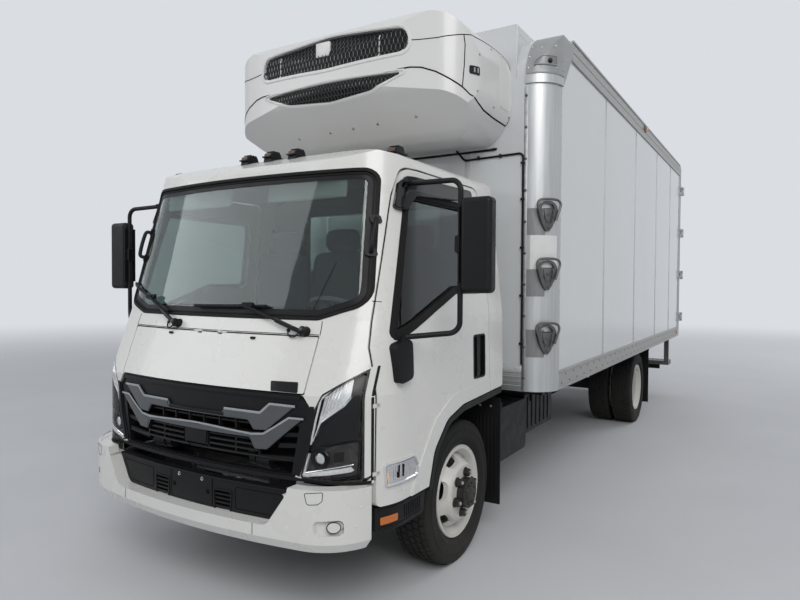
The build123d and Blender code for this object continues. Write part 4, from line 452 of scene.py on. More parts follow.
def patch(piece, place, rim, out, back, step=0.04):
    """A panel inside an outline on a surface: its face stands out by one distance, its edge runs back to another."""
    rim = finer(rim, step)
    low_u, high_u, low_v, high_v = limits(rim)
    points = [Vector(p) for p in rim]
    for i in range(int((high_u - low_u) / step) + 1):
        for j in range(int((high_v - low_v) / step) + 1):
            spot = Vector((low_u + (i + 0.5 + 0.25 * (j % 2)) * step, low_v + (j + 0.5) * step))
            if inside(rim, *spot) and min((spot - p).length for p in rim) > step * 0.45:
                points.append(spot)
    flat, _, tris, _, _, _ = delaunay_2d_cdt(points, [], [list(range(len(rim)))], 1, 1e-6)
    edges = {(t[i], t[(i + 1) % 3]) for t in tris for i in range(3)}
    edges = [(a, b) for a, b in sorted(edges) if (b, a) not in edges]
    low = {i: len(flat) + k for k, i in enumerate(sorted({i for pair in edges for i in pair}))}
    verts = [place(*p, out) for p in flat] + [place(*flat[i], back) for i in low]
    piece.add(verts, [list(t) for t in tris] + [[b, a, low[a], low[b]] for a, b in edges])


def ribbon(piece, place, path, width, out, back, closed=False, step=0.03, crown=0.0):
    """A strip along a path on a surface, square or crowned."""
    path = finer(path, step, closed)
    count = len(path)
    verts = []
    for i, p in enumerate(path):
        before = path[i - 1] if i > 0 or closed else p
        after = path[(i + 1) % count] if i + 1 < count or closed else p
        along = (after - before).normalized()
        a = (p - before).normalized() if (p - before).length > 1e-9 else along
        across = Vector((-along[1], along[0]))
        mitre = max(0.5, abs(Vector((-a[1], a[0])).dot(across)))
        reach = across * width / 2 / mitre
        for share, level in ((-1, back), (-1, out), (0, out + crown), (1, out), (1, back)):
            verts.append(place(*(p + reach * share), level))
    faces = [[i * 5 + k, i * 5 + k + 1, (i + 1) % count * 5 + k + 1, (i + 1) % count * 5 + k]
             for i in range(count if closed else count - 1) for k in range(4)]
    if not closed:
        faces += [[0, 1, 2, 3, 4], [(count - 1) * 5 + k for k in (4, 3, 2, 1, 0)]]
    piece.add(verts, faces)


def strips(piece, place, rows, side=1, closed=False):
    """Ribbons from rows of a path, its width, out, back and maybe crown, all in millimetres."""
    for path, width, out, back, *crown in rows:
        ribbon(piece, place, line(path, side), width / 1000, out / 1000, back / 1000, closed, crown=sum(crown) / 1000)


class Form:
    """A bowed plan outline that changes with height, as the cab, bumper, insert and unit have it."""

    def __init__(self, levels, bow):
        self.levels, self.bow = levels, bow

    def at(self, z):
        for low, high in zip(self.levels, self.levels[1:]):
            if z <= high[0]:
                break
        share = (z - low[0]) / (high[0] - low[0])
        _, half, face, corner = [a + (b - a) * share for a, b in zip(low, high)]
        centre = -face + self.bow
        corner_x = half - corner
        corner_y = centre - math.sqrt((self.bow - corner) ** 2 - corner_x ** 2)
        return half, centre, corner, corner_x, corner_y

    def face(self, x, z):
        _, centre, corner, corner_x, corner_y = self.at(z)
        if abs(x) < corner_x * self.bow / (self.bow - corner):
            y = centre - math.sqrt(self.bow ** 2 - x ** 2)
        else:
            y = corner_y - math.sqrt(max(0.0, corner ** 2 - (abs(x) - corner_x) ** 2))
        return Vector((x, FRONT_AXLE + y, z))

    def edge(self, y, z):
        half, _, corner, corner_x, corner_y = self.at(z)
        x = half if y >= corner_y else corner_x + math.sqrt(max(0.0, corner ** 2 - (y - corner_y) ** 2))
        return Vector((x, FRONT_AXLE + y, z))

    def off(self, skin, u, z, out):
        """A place on a skin, moved out along its normal."""
        e = 0.0015
        return skin(u, z) + (skin(u + e, z) - skin(u - e, z)).cross(skin(u, z + e) - skin(u, z - e)).normalized() * out

    def front(self, x, z, out=0.0):
        return self.off(self.face, x, z, out)

    def side(self, y, z, out=0.0):
        return self.off(self.edge, y, z, out)

    def right_side(self, y, z, out=0.0):
        p = self.side(y, z, out)
        return Vector((-p.x, p.y, p.z))


CAB = Form(CAB_LEVELS, FACE_BOW)
BUMPER = Form(BUMPER_LEVELS, FACE_BOW)
INSERT = Form(INSERT_LEVELS, FACE_BOW)
UNIT = Form(UNIT_LEVELS, UNIT_BOW)


def cad_surface(*names):
    """A tree of CAD nodes' faces, to lay pieces on them."""
    verts, faces = [], []
    for name in names:
        solid = NODES[name]
        start = len(verts)
        verts.extend(solid.matrix_world @ v.co for v in solid.data.vertices)
        faces.extend([start + i for i in p.vertices] for p in solid.data.polygons)
    return BVHTree.FromPolygons(verts, faces)


def paint_faces(name, key, test):
    """A CAD node's faces that pass a test take another finish; the test gets each face's middle and normal."""
    solid = NODES[name]
    solid.data.materials.append(M[key])
    slot = len(solid.data.materials) - 1
    for p in solid.data.polygons:
        if test(solid.matrix_world @ p.center, p.normal):
            p.material_index = slot


# Front of the cab: grille, lamps, bumper and its insert

def add_grille():
    def on_bar(centre, normal):
        return normal.y < -0.5 and abs(CAB.face(centre.x, centre.z).y - centre.y) < 0.0025
    paint_faces("grille", "bar", on_bar)
    edge, face, trim = pieces("cab", 50, grille_bar_edges="bar_edge", grille_bar_faces="bar", grille_trim="black")
    for side, _ in SIDES:
        strips(edge, CAB.front, (
            (((206, 986), (300, 986), (424, 985), (480, 1031), (616, 1029)), 11, 3, -4, 1),
            (((113, 893), (374, 880), (443, 887), (498, 920), (583, 974), (660, 975)), 9, 3, -4, 1),
            (((0, 896), (113, 893)), 9, 3, -4, 1)), side)
        for rows in (
            ((214, 980, 2), (424, 979, 20), (481, 1024, 15), (600, 1023, 4), (461, 912, 15), (388, 907, 15),
             (358, 950, 4), (214, 956, 2)),
            ((376, 866, 4), (440, 876, 20), (500, 908, 10), (585, 964, 15), (640, 965, 4), (560, 902, 10),
             (460, 822, 12), (398, 818, 12)),
        ):
            patch(face, CAB.front, outline(rows, 3, side), 0.0022, -0.004, 0.03)
    strips(trim, CAB.front, (
        (((-640, 1066), (-300, 1067), (0, 1067), (300, 1067), (640, 1066)), 18, -3, -12, 2),
        (((-200, 957), (0, 958), (200, 957)), 16, 1, -6, 1)))
    slats = ((852, 95, 392), (826, 95, 396), (800, 95, 404), (774, 60, 590))
    for side, _ in SIDES:
        strips(trim, CAB.front, (
            (((643, 1064), (690, 1018), (668, 880), (612, 718)), 12, -4, -12),
            *((((x, 895), (x, 940)), 8, -13, -20) for x in (53, 160, 267)),
            *((((start, z), (end, z)), 7, -14, -22, 2) for z, start, end in slats)), side)
    rows = outline(((-80, 872, 6), (80, 872, 6), (74, 796, 6), (-74, 796, 6)), 3)
    patch(trim, CAB.front, rows, -0.006, -0.012, 0.04)
    # A flat black sheet behind the grille openings: painted shade for the grille's depth
    deep, = pieces("cab", grille_core="deep")
    y = FRONT_AXLE - 0.985
    prism(deep, [(-0.6, y, 0.72), (0.6, y, 0.72), (0.6, y, 0.95), (-0.6, y, 0.95)], (0, 0.02, 0))
    fins, = pieces("chassis", radiator_core="iron")
    y = FRONT_AXLE - 0.80
    for i in range(46):
        z = 0.55 + 0.0075 * i
        block(fins, (-0.33, y, z), (0.33, y + 0.01, z + 0.003), 0.001)
    block(fins, (-0.36, y + 0.011, 0.53), (0.36, y + 0.04, 0.905), 0.01)
    close()


def add_headlamps():
    tray, black = pieces("cab", 40, headlamp_housings="lamp_house", headlamp_masks="gloss_black")
    chrome, pale, shine, cover, fender = pieces(
        "cab", 50, headlamp_chrome="chrome", headlamp_guides="pale_lens", headlamp_reflectors="reflector",
        headlamp_covers="lens", headlamp_fillers="paint")
    for side, _ in SIDES:
        def shape(steps, *rows):
            return outline(rows, steps, side)
        whole = shape(4, (749, 1090, 15), (912, 1204, 12), (912, 706, 16), (800, 701, 30), (644, 708, 10),
                      (688, 860, 60), (711, 1013, 20))
        upper = shape(3, (760, 1078, 10), (846, 1166, 10), (866, 1180, 6), (868, 1086, 12), (845, 1048, 12),
                      (740, 966, 12), (724, 925, 10), (704, 872, 10))
        mask = shape(3, (876, 1080, 6), (900, 1096, 4), (902, 893, 4), (730, 857, 10), (712, 868, 4), (745, 958, 14),
                     (848, 1040, 14))
        bezel = shape(3, (688, 838, 8), (902, 886, 8), (898, 726, 10), (700, 692, 16), (652, 700, 10))
        square = shape(2, (800, 826, 4), (846, 836, 4), (844, 792, 4), (800, 784, 4))
        lens = shape(4, (749, 1092, 15), (914, 1207, 12), (914, 704, 16), (800, 700, 30), (642, 706, 10),
                     (686, 860, 60), (709, 1014, 20))
        filler = shape(2, (915, 1212, 2), (934, 1224, 2), (936, 728, 2), (915, 716, 2))
        for piece, rim, out, back, step in (
            (tray, whole, -0.034, -0.041, 0.03), (pale, upper, -0.016, -0.030, 0.02),
            (black, mask, -0.010, -0.032, 0.03), (tray, bezel, -0.026, -0.034, 0.03),
            (black, square, -0.020, -0.028, 0.03), (cover, lens, 0.0004, -0.0026, 0.025),
            (fender, filler, 0.0004, -0.030, 0.03),
        ):
            patch(piece, CAB.front, rim, out, back, step)
        ribbon(tray, CAB.front, whole, 0.009, -0.001, -0.036, closed=True)
        ribbon(black, CAB.front, bezel, 0.006, -0.014, -0.03, closed=True)
        strips(chrome, CAB.front, (
            (((690, 862), (718, 985), (741, 1072), (800, 1139), (866, 1194), (884, 1206)), 16, -6, -20, 4),
            (((700, 872), (722, 925), (740, 963), (845, 1044), (872, 1082)), 5, -12, -20, 1),
            (((665, 728), (770, 754), (880, 778)), 7, -9, -24, 2)), side)
        strips(shine, CAB.front, [
            (((735 + 110 * i / 7, 985 + 75 * i / 7), (768 + 92 * i / 7, 1082 + 88 * i / 7)), 4, -12.5, -18, 1)
            for i in range(7)], side)
        strips(pale, CAB.front, (
            (((652, 708), (672, 722), (770, 738), (868, 756), (876, 762)), 22, -10, -28, 3),
            (((650, 708), (662, 760), (678, 820)), 18, -10, -28, 3)), side)
        strips(black, CAB.front, ((((660, 694), (800, 690), (912, 696)), 22, -4, -30),), side)
        eye = CAB.front(side * 0.735, 0.797, -0.020)
        axis = CAB.front(side * 0.735, 0.797, 0.01) - eye
        axis = axis.normalized() + Vector((0, -0.7, 0))
        rows = ((-0.008, 0.020), (0.001, 0.0245), (0.003, 0.0245), (0.004, 0.0225), (-0.002, 0.020))
        turned(chrome, rows, eye, axis, 36)
        turned(pale, ((-0.0085, 0.0), (-0.0085, 0.0195), (-0.004, 0.0195), (-0.001, 0.0)), eye, axis)
        rows = ((-0.001, 0), (-0.001, 0.020), (0.004, 0.019), (0.009, 0.015), (0.012, 0.008), (0.013, 0))
        turned(cover, rows, eye, axis)
        turned(black, ((-0.014, 0), (-0.012, 0.046), (0.002, 0.048), (0.005, 0.044), (0.002, 0.032), (-0.006, 0.027),
                       (-0.011, 0)), eye, axis)
    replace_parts(close()["headlamp_housings"], "headlamps")


def add_bumper():
    seam, = pieces("chassis", bumper_seams="deep")
    white, = pieces("chassis", 40, bumper_lamp_caps="paint")
    dark, = pieces("chassis", insert_grooves="deep")
    trim, = pieces("chassis", 50, insert_trim="black")
    clip, = pieces("chassis", 40, insert_clips="bolt")
    strips(white, BUMPER.front, ((((-940, 700), (-800, 694)), 4, -10, -14),))
    strips(dark, INSERT.front, ((((152, 508), (152, 650)), 5, 1, -4), (((-152, 508), (-152, 650)), 4, 1, -4)))
    strips(trim, INSERT.front, (
        (((-625, 646), (-300, 647), (0, 647), (300, 647), (625, 646)), 10, 4, -4, 2),
        (((-148, 646), (-148, 516), (-140, 508), (140, 508), (148, 516), (148, 646)), 6, 2, -4)))
    for side, _ in SIDES:
        tow = outline(((732, 671, 6), (811, 680, 6), (808, 640, 12), (790, 626, 10), (744, 621, 12)), 3, side)
        ribbon(seam, BUMPER.front, tow, 0.0028, 0.0006, -0.002, closed=True)
        strips(seam, BUMPER.front, ((((462, 448), (462, 500)), 3, 0.6, -2),), side)
        rim = [(side * 0.850 + 0.0245 * c, 0.522 + 0.0245 * s) for c, s in circle(24)]
        ribbon(seam, BUMPER.front, rim, 0.003, -0.0032, -0.006, closed=True)
        for z, x in ((0.520, 0.915), (0.600, 0.930)):
            at = BUMPER.front(side * x, z)
            rivet(white, at, BUMPER.front(side * x, z, 0.01) - at, 0.008, 0.003, 12)
        rows = ((300, 622, 8), (590, 622, 8), (520, 520, 20), (300, 520, 8))
        groove = outline([(side * u, v, radius) for u, v, radius in rows], 3)
        ribbon(dark, INSERT.front, groove, 0.003, 0.0008, -0.002, closed=True)
        # Square holes in the insert are flat deep black patches: painted shade for the holes
        hole = outline(((112, 582, 3), (132, 582, 3), (132, 560, 3), (112, 560, 3)), 2, side)
        patch(dark, INSERT.front, hole, 0.001, -0.004, 0.02)
        rows = ((164, 594, 5), (276, 596, 5), (272, 488, 5), (168, 494, 5))
        vent = outline([(side * u, v, radius) for u, v, radius in rows], 2)
        ribbon(trim, INSERT.front, vent, 0.008, 0.003, -0.003, closed=True)
        at = INSERT.front(side * 0.083, 0.628)
        rows = ((-0.004, 0.0095), (0.002, 0.0095), (0.003, 0.0078), (0.001, 0.0055), (-0.006, 0.005))
        turned(clip, rows, at, (0, -1, 0), 20)
        # A deep black plug fills the clip's hole: painted shade
        turned(dark, ((-0.01, 0.005), (0.0005, 0.005), (0.0005, 0)), at, (0, -1, 0), 16)
    close()


def add_lid():
    badge, = pieces("lid", 50, lid_blank_badge="gloss_black")
    rows = outline(((469, 1136, 5), (616, 1138, 5), (626, 1091, 5), (481, 1092, 5)), 3)
    patch(badge, CAB.front, rows, 0.0022, -0.001, 0.03)
    jets, = pieces("lid", lid_washer_jets="black")
    for x in (-0.30, 0.30):
        at = CAB.front(x, 1.325)
        block(jets, at + Vector((-0.014, -0.010, -0.006)), at + Vector((0.014, 0.004, 0.006)))
    close()


# Cab: windscreen, wipers, doors, mirrors, roof lamps and the inside

SCREEN = outline(((640, 1425, 90), (872, 1500, 90), (812, 2152, 70), (-812, 2152, 70), (-872, 1500, 90),
                  (-640, 1425, 90)), 6)
WINDOW = outline(((-772, 1330, 20), (-560, 2040, 60), (178, 2040, 60), (178, 1560, 50), (-150, 1560, 60)), 5)
SKIN = 0.038


def add_cab_finish():
    def inner(centre, normal):
        z = min(centre.z, 2.38)
        half = CAB.at(z)[0]
        if normal.x * centre.x < -0.2 and centre.z > 1.2:
            return True
        if abs(centre.x) > half - SKIN or centre.y > FRONT_AXLE + 0.44 or centre.z > 2.30:
            return False
        if centre.y < CAB.face(max(-half + 0.04, min(half - 0.04, centre.x)), z).y + 0.036:
            return False
        return normal.z < 0.3 or centre.z < 2.1

    # Painted shade: the cab shell's downward faces low down, and the arms behind the grille, take chassis black
    def shaded_underside(centre, normal):
        arm = 0.25 < abs(centre.x) < 0.34 and centre.z < 0.94 and centre.y < FRONT_AXLE - 0.8
        return arm or normal.z < -0.7 and centre.z < 1.0
    paint_faces("cab_shell", "grey", inner)
    paint_faces("cab_shell", "chassis", shaded_underside)
    for _, name in SIDES:
        paint_faces("door_" + name, "grey", lambda c, n: abs(c.x) < CAB.at(c.z)[0] - 0.012 and n.x * c.x < -0.2)
        paint_faces("door_" + name, "black", lambda c, n: 0.045 < c.y - FRONT_AXLE < 0.212 and 1.050 < c.z < 1.300
                    and 0.975 < abs(c.x) < 0.9984)
    paint_faces("dashboard", "black", lambda c, n: c.y > FRONT_AXLE - 0.585 and c.z > 1.24)
    strip, = pieces("cab", 40, grille_surround="black")
    for side, _ in SIDES:
        strips(strip, CAB.front, (
            (((703, 1036), (703, 1013), (680, 862), (660, 800), (630, 712)), 20, 1.2, -12),
            (((618, 697), (800, 696), (936, 697)), 14, 1.2, -20),
            (((938, 704), (938, 900), (938, 1218)), 8, 1.2, -20)), side)
    strips(strip, CAB.front, ((((-630, 697), (0, 697), (630, 697)), 18, 1.2, -20),))
    close()


def add_windscreen():
    seal, = pieces("cab", 50, windscreen_seal="rubber")
    ribbon(seal, CAB.front, SCREEN, 0.016, 0.0025, -0.011, closed=True, crown=0.002)
    ribbon(seal, CAB.front, shrunk(SCREEN, 0.016), 0.008, -0.004, -0.011, closed=True, crown=0.001)
    band, = pieces("cab", 50, windscreen_border="black")
    ribbon(band, CAB.front, shrunk(SCREEN, 0.024), 0.040, -0.0085, -0.0105, closed=True)
    strips(band, CAB.front, ((((-600, 1455), (-300, 1450), (0, 1449), (300, 1450), (600, 1455)), 30, -8.7, -10.5),))
    for i in range(60):
        x = -0.62 + i * 1.24 / 59
        rivet(band, CAB.front(x, 1.478, -0.01), CAB.front(x, 1.478, 0.01) - CAB.front(x, 1.478), 0.003, 0.0012, 6)
    aerial, seam = pieces("cab", windscreen_aerial="black", cab_seams="deep")
    strips(aerial, CAB.front, ((((603, 1470), (640, 1580), (682, 1694)), 2.5, -8.2, -10.5),))
    for side, _ in SIDES:
        strips(seam, CAB.front, (
            (((669, 1350), (668, 1385), (664, 1414)), 3.5, 0.7, -2), (((872, 1512), (905, 1508)), 3, 0.7, -2)), side)
    strips(seam, CAB.front, ((((-664, 1352), (0, 1352), (664, 1352)), 3, 0.7, -2),))
    close()


def add_wipers():
    cowl, = pieces("cab", 50, cowl_recesses="paint")
    dark, = pieces("cab", 40, wiper_details="black")
    steel, = pieces("cab", wiper_nuts="iron")
    for px, pz, ax, az, near, far, recess in (
        (0.590, 1.364, 0.236, 1.478, (0.343, 1.480), (-0.149, 1.473),
         ((330, 1412), (392, 1412), (560, 1352), (500, 1352))),
        (-0.260, 1.374, -0.560, 1.508, (-0.367, 1.436), (-0.850, 1.588),
         ((-400, 1414), (-345, 1414), (-235, 1356), (-290, 1356))),
    ):
        strips(cowl, CAB.front, ((recess, 5, 2.2, -1, 0.8),), closed=True)
        at = CAB.front(px, pz)
        axis = CAB.front(px, pz, 0.02) - at
        turned(dark, ((-0.002, 0.0), (-0.002, 0.026), (0.004, 0.026), (0.010, 0.021), (0.030, 0.019), (0.040, 0.017),
                      (0.044, 0.010), (0.045, 0.0)), at, axis, 20)
        turned(steel, ((0.043, 0), (0.043, 0.008), (0.052, 0.008), (0.053, 0)), at, axis, 6)
        hose = [CAB.front(px - x, pz + z, out) for x, z, out in (
            (0.02, -0.004, 0.020), (0.045, -0.028, 0.014), (0.075, -0.026, 0.010), (0.092, -0.008, 0.007),
            (0.096, 0.004, 0.002))]
        tube(dark, smooth_path(hose, 4), 0.0035, 6)
        rows = ((-0.001, 0.0), (-0.001, 0.010), (0.006, 0.008), (0.008, 0))
        turned(dark, rows, CAB.front(px - 0.096, pz + 0.004), axis, 12)
        near, far = Vector(near), Vector(far)
        points = [CAB.front(*near.lerp(far, s / 8), 0.004) for s in range(9)]
        for a, b in zip(points, points[1:]):
            tube(dark, [a, b], 0.0045, 5)
        tube(dark, smooth_path([p + Vector((0, -0.014, 0.002)) for p in points], 2), 0.0035, 6)
        middle = CAB.front(ax, az, 0.02)
        block(dark, middle - Vector((0.035, 0.012, 0.012)), middle + Vector((0.035, 0.012, 0.014)), 0.004)
        start, end = CAB.front(px, pz, 0.034), CAB.front(ax, az, 0.034)
        coil = [start.lerp(end, 0.12 + 0.33 * k / 26)
                + Vector((0.004 * math.cos(k * 2.1), -0.013, 0.004 * math.sin(k * 2.1))) for k in range(27)]
        tube(steel, coil, 0.0016, 4)
    close()


def add_roof_lamps():
    lamps, base = pieces("cab", 40, roof_lamp_lenses="amber_dark", roof_lamp_feet="black")
    for x, y, z in ((-0.815, -0.505, 2.246), (-0.180, -0.530, 2.294), (0, -0.530, 2.298), (0.180, -0.530, 2.294),
                    (0.815, -0.505, 2.246)):
        at = Vector((x, FRONT_AXLE + y, z))
        block(base, at + Vector((-0.032, -0.066, 0.006)), at + Vector((0.032, 0.060, 0.014)))
        hull(lamps, [at + Vector((s * w, d, h)) for s in (-1, 1) for w, d, h in (
            (0.022, -0.060, 0.014), (0.020, -0.049, 0.032), (0.022, -0.045, 0.014), (0.020, -0.040, 0.034))])
        for k in range(3):
            y = -0.030 + 0.02 * k
            block(base, at + Vector((-0.029, y, 0.040)), at + Vector((0.029, y + 0.006, 0.046)), 0.002)
    close()


def add_door(side, name):
    body, tail = "cab_door_" + name, "_" + name
    place = CAB.side if side > 0 else CAB.right_side
    rubber, shade, trim, lamp, turn, amber, cover, panel, mirror = pieces(
        body, 50, tail, window_frame="rubber", window_visor="visor", door_handle="black", door_lamp_rim="chrome",
        door_lamp_bulbs="deep", door_lamp_amber="amber_pale", door_lamp_cover="lens", door_inside="grey",
        mirror_glass="mirror_glass")
    base, = pieces(body, 30, tail, door_lamp_reflector="reflector")
    dark, = pieces(body, 40, tail, mirror_details="black")
    gasket, handle = pieces("cab", 50, tail, door_gap_seal="deep", pillar_handle="black")
    reflector, step = pieces("chassis", 50, tail, door_reflector="amber", step_trim="black")
    ribbon(rubber, place, WINDOW, 0.030, 0.0018, -0.018, closed=True, crown=0.0015)
    ribbon(rubber, place, shrunk(WINDOW, 0.020), 0.012, -0.006, -0.018, closed=True)
    strips(rubber, place, ((((-745, 1352), (-152, 1560), (160, 1560)), 40, 2.6, -16, 2),))
    strips(gasket, place, ((((-888, 700), (-887, 900), (-884, 1090), (-866, 1300), (-755, 1660), (-668, 1944),
                             (-650, 2000), (-628, 2062)), 3, -2, -14),))
    rows = outline(((-648, 1962, 12), (-604, 2086, 26), (-560, 2118, 20), (120, 2132, 20), (116, 2074, 10),
                    (-520, 2030, 30), (-598, 1950, 10)), 4)
    patch(shade, place, rows, 0.030, 0.024, 0.03)
    ribbon(shade, place, rows, 0.006, 0.026, 0.0, closed=True)
    rows = outline(((52, 1052, 16), (52, 1298, 16), (205, 1298, 16), (205, 1052, 16)), 4)
    ribbon(trim, place, rows, 0.010, 0.0022, -0.014, closed=True, crown=0.001)
    rows = outline(((84, 1062, 10), (84, 1288, 10), (124, 1288, 10), (124, 1062, 10)), 4)
    patch(trim, place, rows, 0.0065, -0.004, 0.03)
    turned(trim, ((0.0, 0.012), (0.004, 0.012), (0.005, 0.009), (0.003, 0.006), (0.003, 0)),
           place(0.165, 1.095, -0.017), (side, 0, 0), 20)
    rows = outline(((-850, 768, 14), (-640, 768, 26), (-606, 716, 20), (-612, 668, 14), (-840, 668, 10)), 4)
    ribbon(lamp, place, rows, 0.010, 0.012, -0.002, closed=True, crown=0.002)
    patch(base, place, shrunk(rows, 0.004), 0.004, -0.002, 0.025)
    patch(cover, place, shrunk(rows, 0.003), 0.015, 0.012, 0.025)
    strips(base, place, [(((y, 685), (y, 752)), 4, 9, 3) for y in range(-800, -740, 12)])
    strips(turn, place, [(((y, 695), (y + 4, 750)), 10, 10, 3, 2) for y in (-775, -742)])
    strips(amber, place, ((((-836, 676), (-838, 735)), 20, 9, 3, 2),))
    rows = outline(((-862, 488, 5), (-862, 522, 5), (-762, 524, 5), (-762, 490, 5)), 3)
    patch(reflector, place, rows, -0.0045, -0.012, 0.02)
    strips(step, place, (
        (((-868, 556), (-520, 556)), 8, -5, -12, 1), (((-868, 470), (-530, 470)), 6, -5, -12, 1),
        *((((y, 482), (y, 545)), 6, -5, -12) for y in range(-700, -550, 18))))
    points = [place(*p) for p in ((-0.722, 1.900, 0.004), (-0.724, 1.894, 0.030), (-0.738, 1.850, 0.036),
                                  (-0.756, 1.790, 0.036), (-0.766, 1.752, 0.030), (-0.768, 1.744, 0.004))]
    tube(handle, smooth_path(points, 4), 0.011, 10)
    for y, z in ((-722, 1902), (-768, 1742)):
        foot = outline(((y - 18, z - 20, 10), (y - 18, z + 20, 10), (y + 18, z + 20, 10), (y + 18, z - 20, 10)), 4)
        patch(handle, place, foot, 0.008, -0.002, 0.03)
    x, y = side * 1.224, FRONT_AXLE - 0.600
    turned(dark, ((1.735, 0.016), (1.740, 0.020), (1.816, 0.020), (1.821, 0.016)), (x, y, 0), (0, 0, 1), 20)
    for z in (1.752, 1.804):
        bolt(dark, (x, y - 0.021, z), (0, -1, 0), height=0.006)
    block(dark, (side * 1.232, y - 0.034, 1.60), (side * 1.228, y + 0.046, 1.95), 0.001)
    points = ((0.872, 0.05, 2.085), (0.90, 0.015, 2.094), (0.95, 0.0, 2.09))
    tube(dark, smooth_path([(side * u, y + v, w) for u, v, w in points], 3), 0.008, 6)
    for low, high in ((1700, 1972), (1574, 1688)):
        rows = outline(((1250, low, 20), (1250, high, 20), (1370, high, 20), (1370, low, 20)), 4)
        prism(mirror, [(side * p[0], y + 0.0468, p[1]) for p in rows], (0, -0.004, 0))
    strips(panel, place, [(((-600, z), (150, z)), tall, -62, -40, 8) for z, tall in ((1160, 280), (1360, 40))])
    close()


def pad(piece, low, high, radius, bulge, channels=(), lean=0.0, steps=14):
    """A stuffed block: rounded edges, full faces, and sewn channels across its front."""
    low, high = Vector(low), Vector(high)
    middle, half = (low + high) / 2, (high - low) / 2
    inner = [max(0.001, h - radius) for h in half]
    verts, faces, seen = [], [], {}

    def point(spot, axis):
        """The spot, on a cube's face, laid on the pad."""
        p = Vector([s * h for s, h in zip(spot, half)])
        core = Vector([max(-i, min(i, c)) for c, i in zip(p, inner)])
        d = p - core
        q = core + (d.normalized() * radius if d.length > 1e-9 else d)
        u, v, w = (1 - s * s for s in spot)
        full = u * w if abs(spot[1]) > 0.99 else u * v if abs(spot[2]) > 0.99 else v * w
        swell = bulge * full
        if channels:
            cut = min(abs(spot[0] - c) for c in channels)
            swell -= 0.010 * math.exp(-(cut / 0.045) ** 2) * (0.3 + full)
        q[axis] += math.copysign(swell, spot[axis])
        q.y += lean * (q.z + half.z)
        return middle + q

    for axis in range(3):
        for sign in (-1, 1):
            grid = []
            for i in range(steps + 1):
                for j in range(steps + 1):
                    spot = [0, 0, 0]
                    spot[axis] = sign
                    spot[(axis + 1) % 3] = -1 + 2 * i / steps
                    spot[(axis + 2) % 3] = -1 + 2 * j / steps
                    key = tuple(round(n, 5) for n in spot)
                    if key not in seen:
                        seen[key] = len(verts)
                        verts.append(point(spot, max(range(3), key=lambda k: abs(spot[k]))))
                    grid.append(seen[key])
            faces += [[grid[a], grid[a + steps + 1], grid[a + steps + 2], grid[a + 1]]
                      for a in (i * (steps + 1) + j for i in range(steps) for j in range(steps))]
    piece.add(verts, faces)


def add_inside():
    seats, = pieces("cab", 60, seat_pads="cloth")
    for low, high in ((-0.80, -0.33), (-0.29, 0.18), (0.24, 0.76)):
        y = FRONT_AXLE
        pad(seats, (low, y - 0.355, 1.062), (high, y + 0.125, 1.235), 0.05, 0.016, (-0.45, 0.45))
        pad(seats, (low + 0.01, y + 0.075, 1.16), (high - 0.01, y + 0.165, 1.80), 0.045, 0.014, (-0.5, 0.5), 0.13)
        middle = (low + high) / 2
        pad(seats, (middle - 0.13, y + 0.165, 1.815), (middle + 0.13, y + 0.255, 1.955), 0.04, 0.008)
    seats = close()["seat_pads"]
    soft = seats.modifiers.new("round", "SUBSURF")
    soft.levels = soft.render_levels = 1
    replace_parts(seats, "seats")
    dash, grey = pieces("cab", 40, dashboard_parts="black", dashboard_pale_parts="grey")
    y = FRONT_AXLE - 0.625
    hull(dash, [(0.47 + s * w, y + d, z) for s in (-1, 1) for w, d, z in (
        (0.20, -0.09, 1.37), (0.19, -0.02, 1.445), (0.20, 0.02, 1.36), (0.16, 0.03, 1.43))])
    block(dash, (-0.12, y - 0.01, 1.06), (0.16, y + 0.035, 1.34), 0.01)
    for x in (-0.70, -0.44, -0.08, 0.08, 0.74):
        for k in range(5):
            z = 1.285 + 0.012 * k
            block(dash, (x - 0.055, y + 0.005, z), (x + 0.055, y + 0.022, z + 0.005), 0.001)
    block(grey, (-0.66, y - 0.005, 1.08), (-0.22, y + 0.02, 1.26), 0.012)
    for x in (-0.06, -0.01, 0.04, 0.09):
        turned(dash, ((0.0, 0.022), (0.02, 0.022), (0.024, 0.018), (0.024, 0)), (x, y + 0.03, 1.12), (0, 1, 0), 16)
    tube(dash, smooth_path([(0.47, y + 0.05, 1.30), (0.60, y + 0.11, 1.33), (0.66, y + 0.13, 1.34)], 3), 0.007, 6)
    tube(dash, smooth_path([(0.10, y + 0.03, 1.14), (0.11, y + 0.09, 1.22), (0.11, y + 0.11, 1.30)], 3), 0.009, 6)
    pad(dash, (0.08, y + 0.075, 1.29), (0.14, y + 0.135, 1.37), 0.02, 0.002, steps=6)
    visors, belts = pieces("cab", 50, sun_visors="visor_cloth", seat_belts="rubber")
    y = FRONT_AXLE - 0.735
    for low, high in ((0.14, 0.66), (-0.66, -0.14)):
        pad(visors, (low, y, 2.02), (high, y + 0.02, 2.18), 0.008, 0.001, lean=0.12, steps=8)
    points = ((0.80, 0.33, 2.0), (0.82, 0.30, 1.6), (0.83, 0.22, 1.1))
    for side, _ in SIDES:
        for ends in zip(points, points[1:]):
            hull(belts, [(side * (x + out), FRONT_AXLE + y + wide, z) for x, y, z in ends for out in (0, 0.002)
                         for wide in (-0.023, 0.023)])
    close()


add_grille()
add_headlamps()
add_bumper()
add_lid()
add_cab_finish()
add_windscreen()
add_wipers()
add_roof_lamps()
for side, name in SIDES:
    add_door(side, name)
add_inside()


# Refrigeration unit: mesh wires, seams, latch, screws

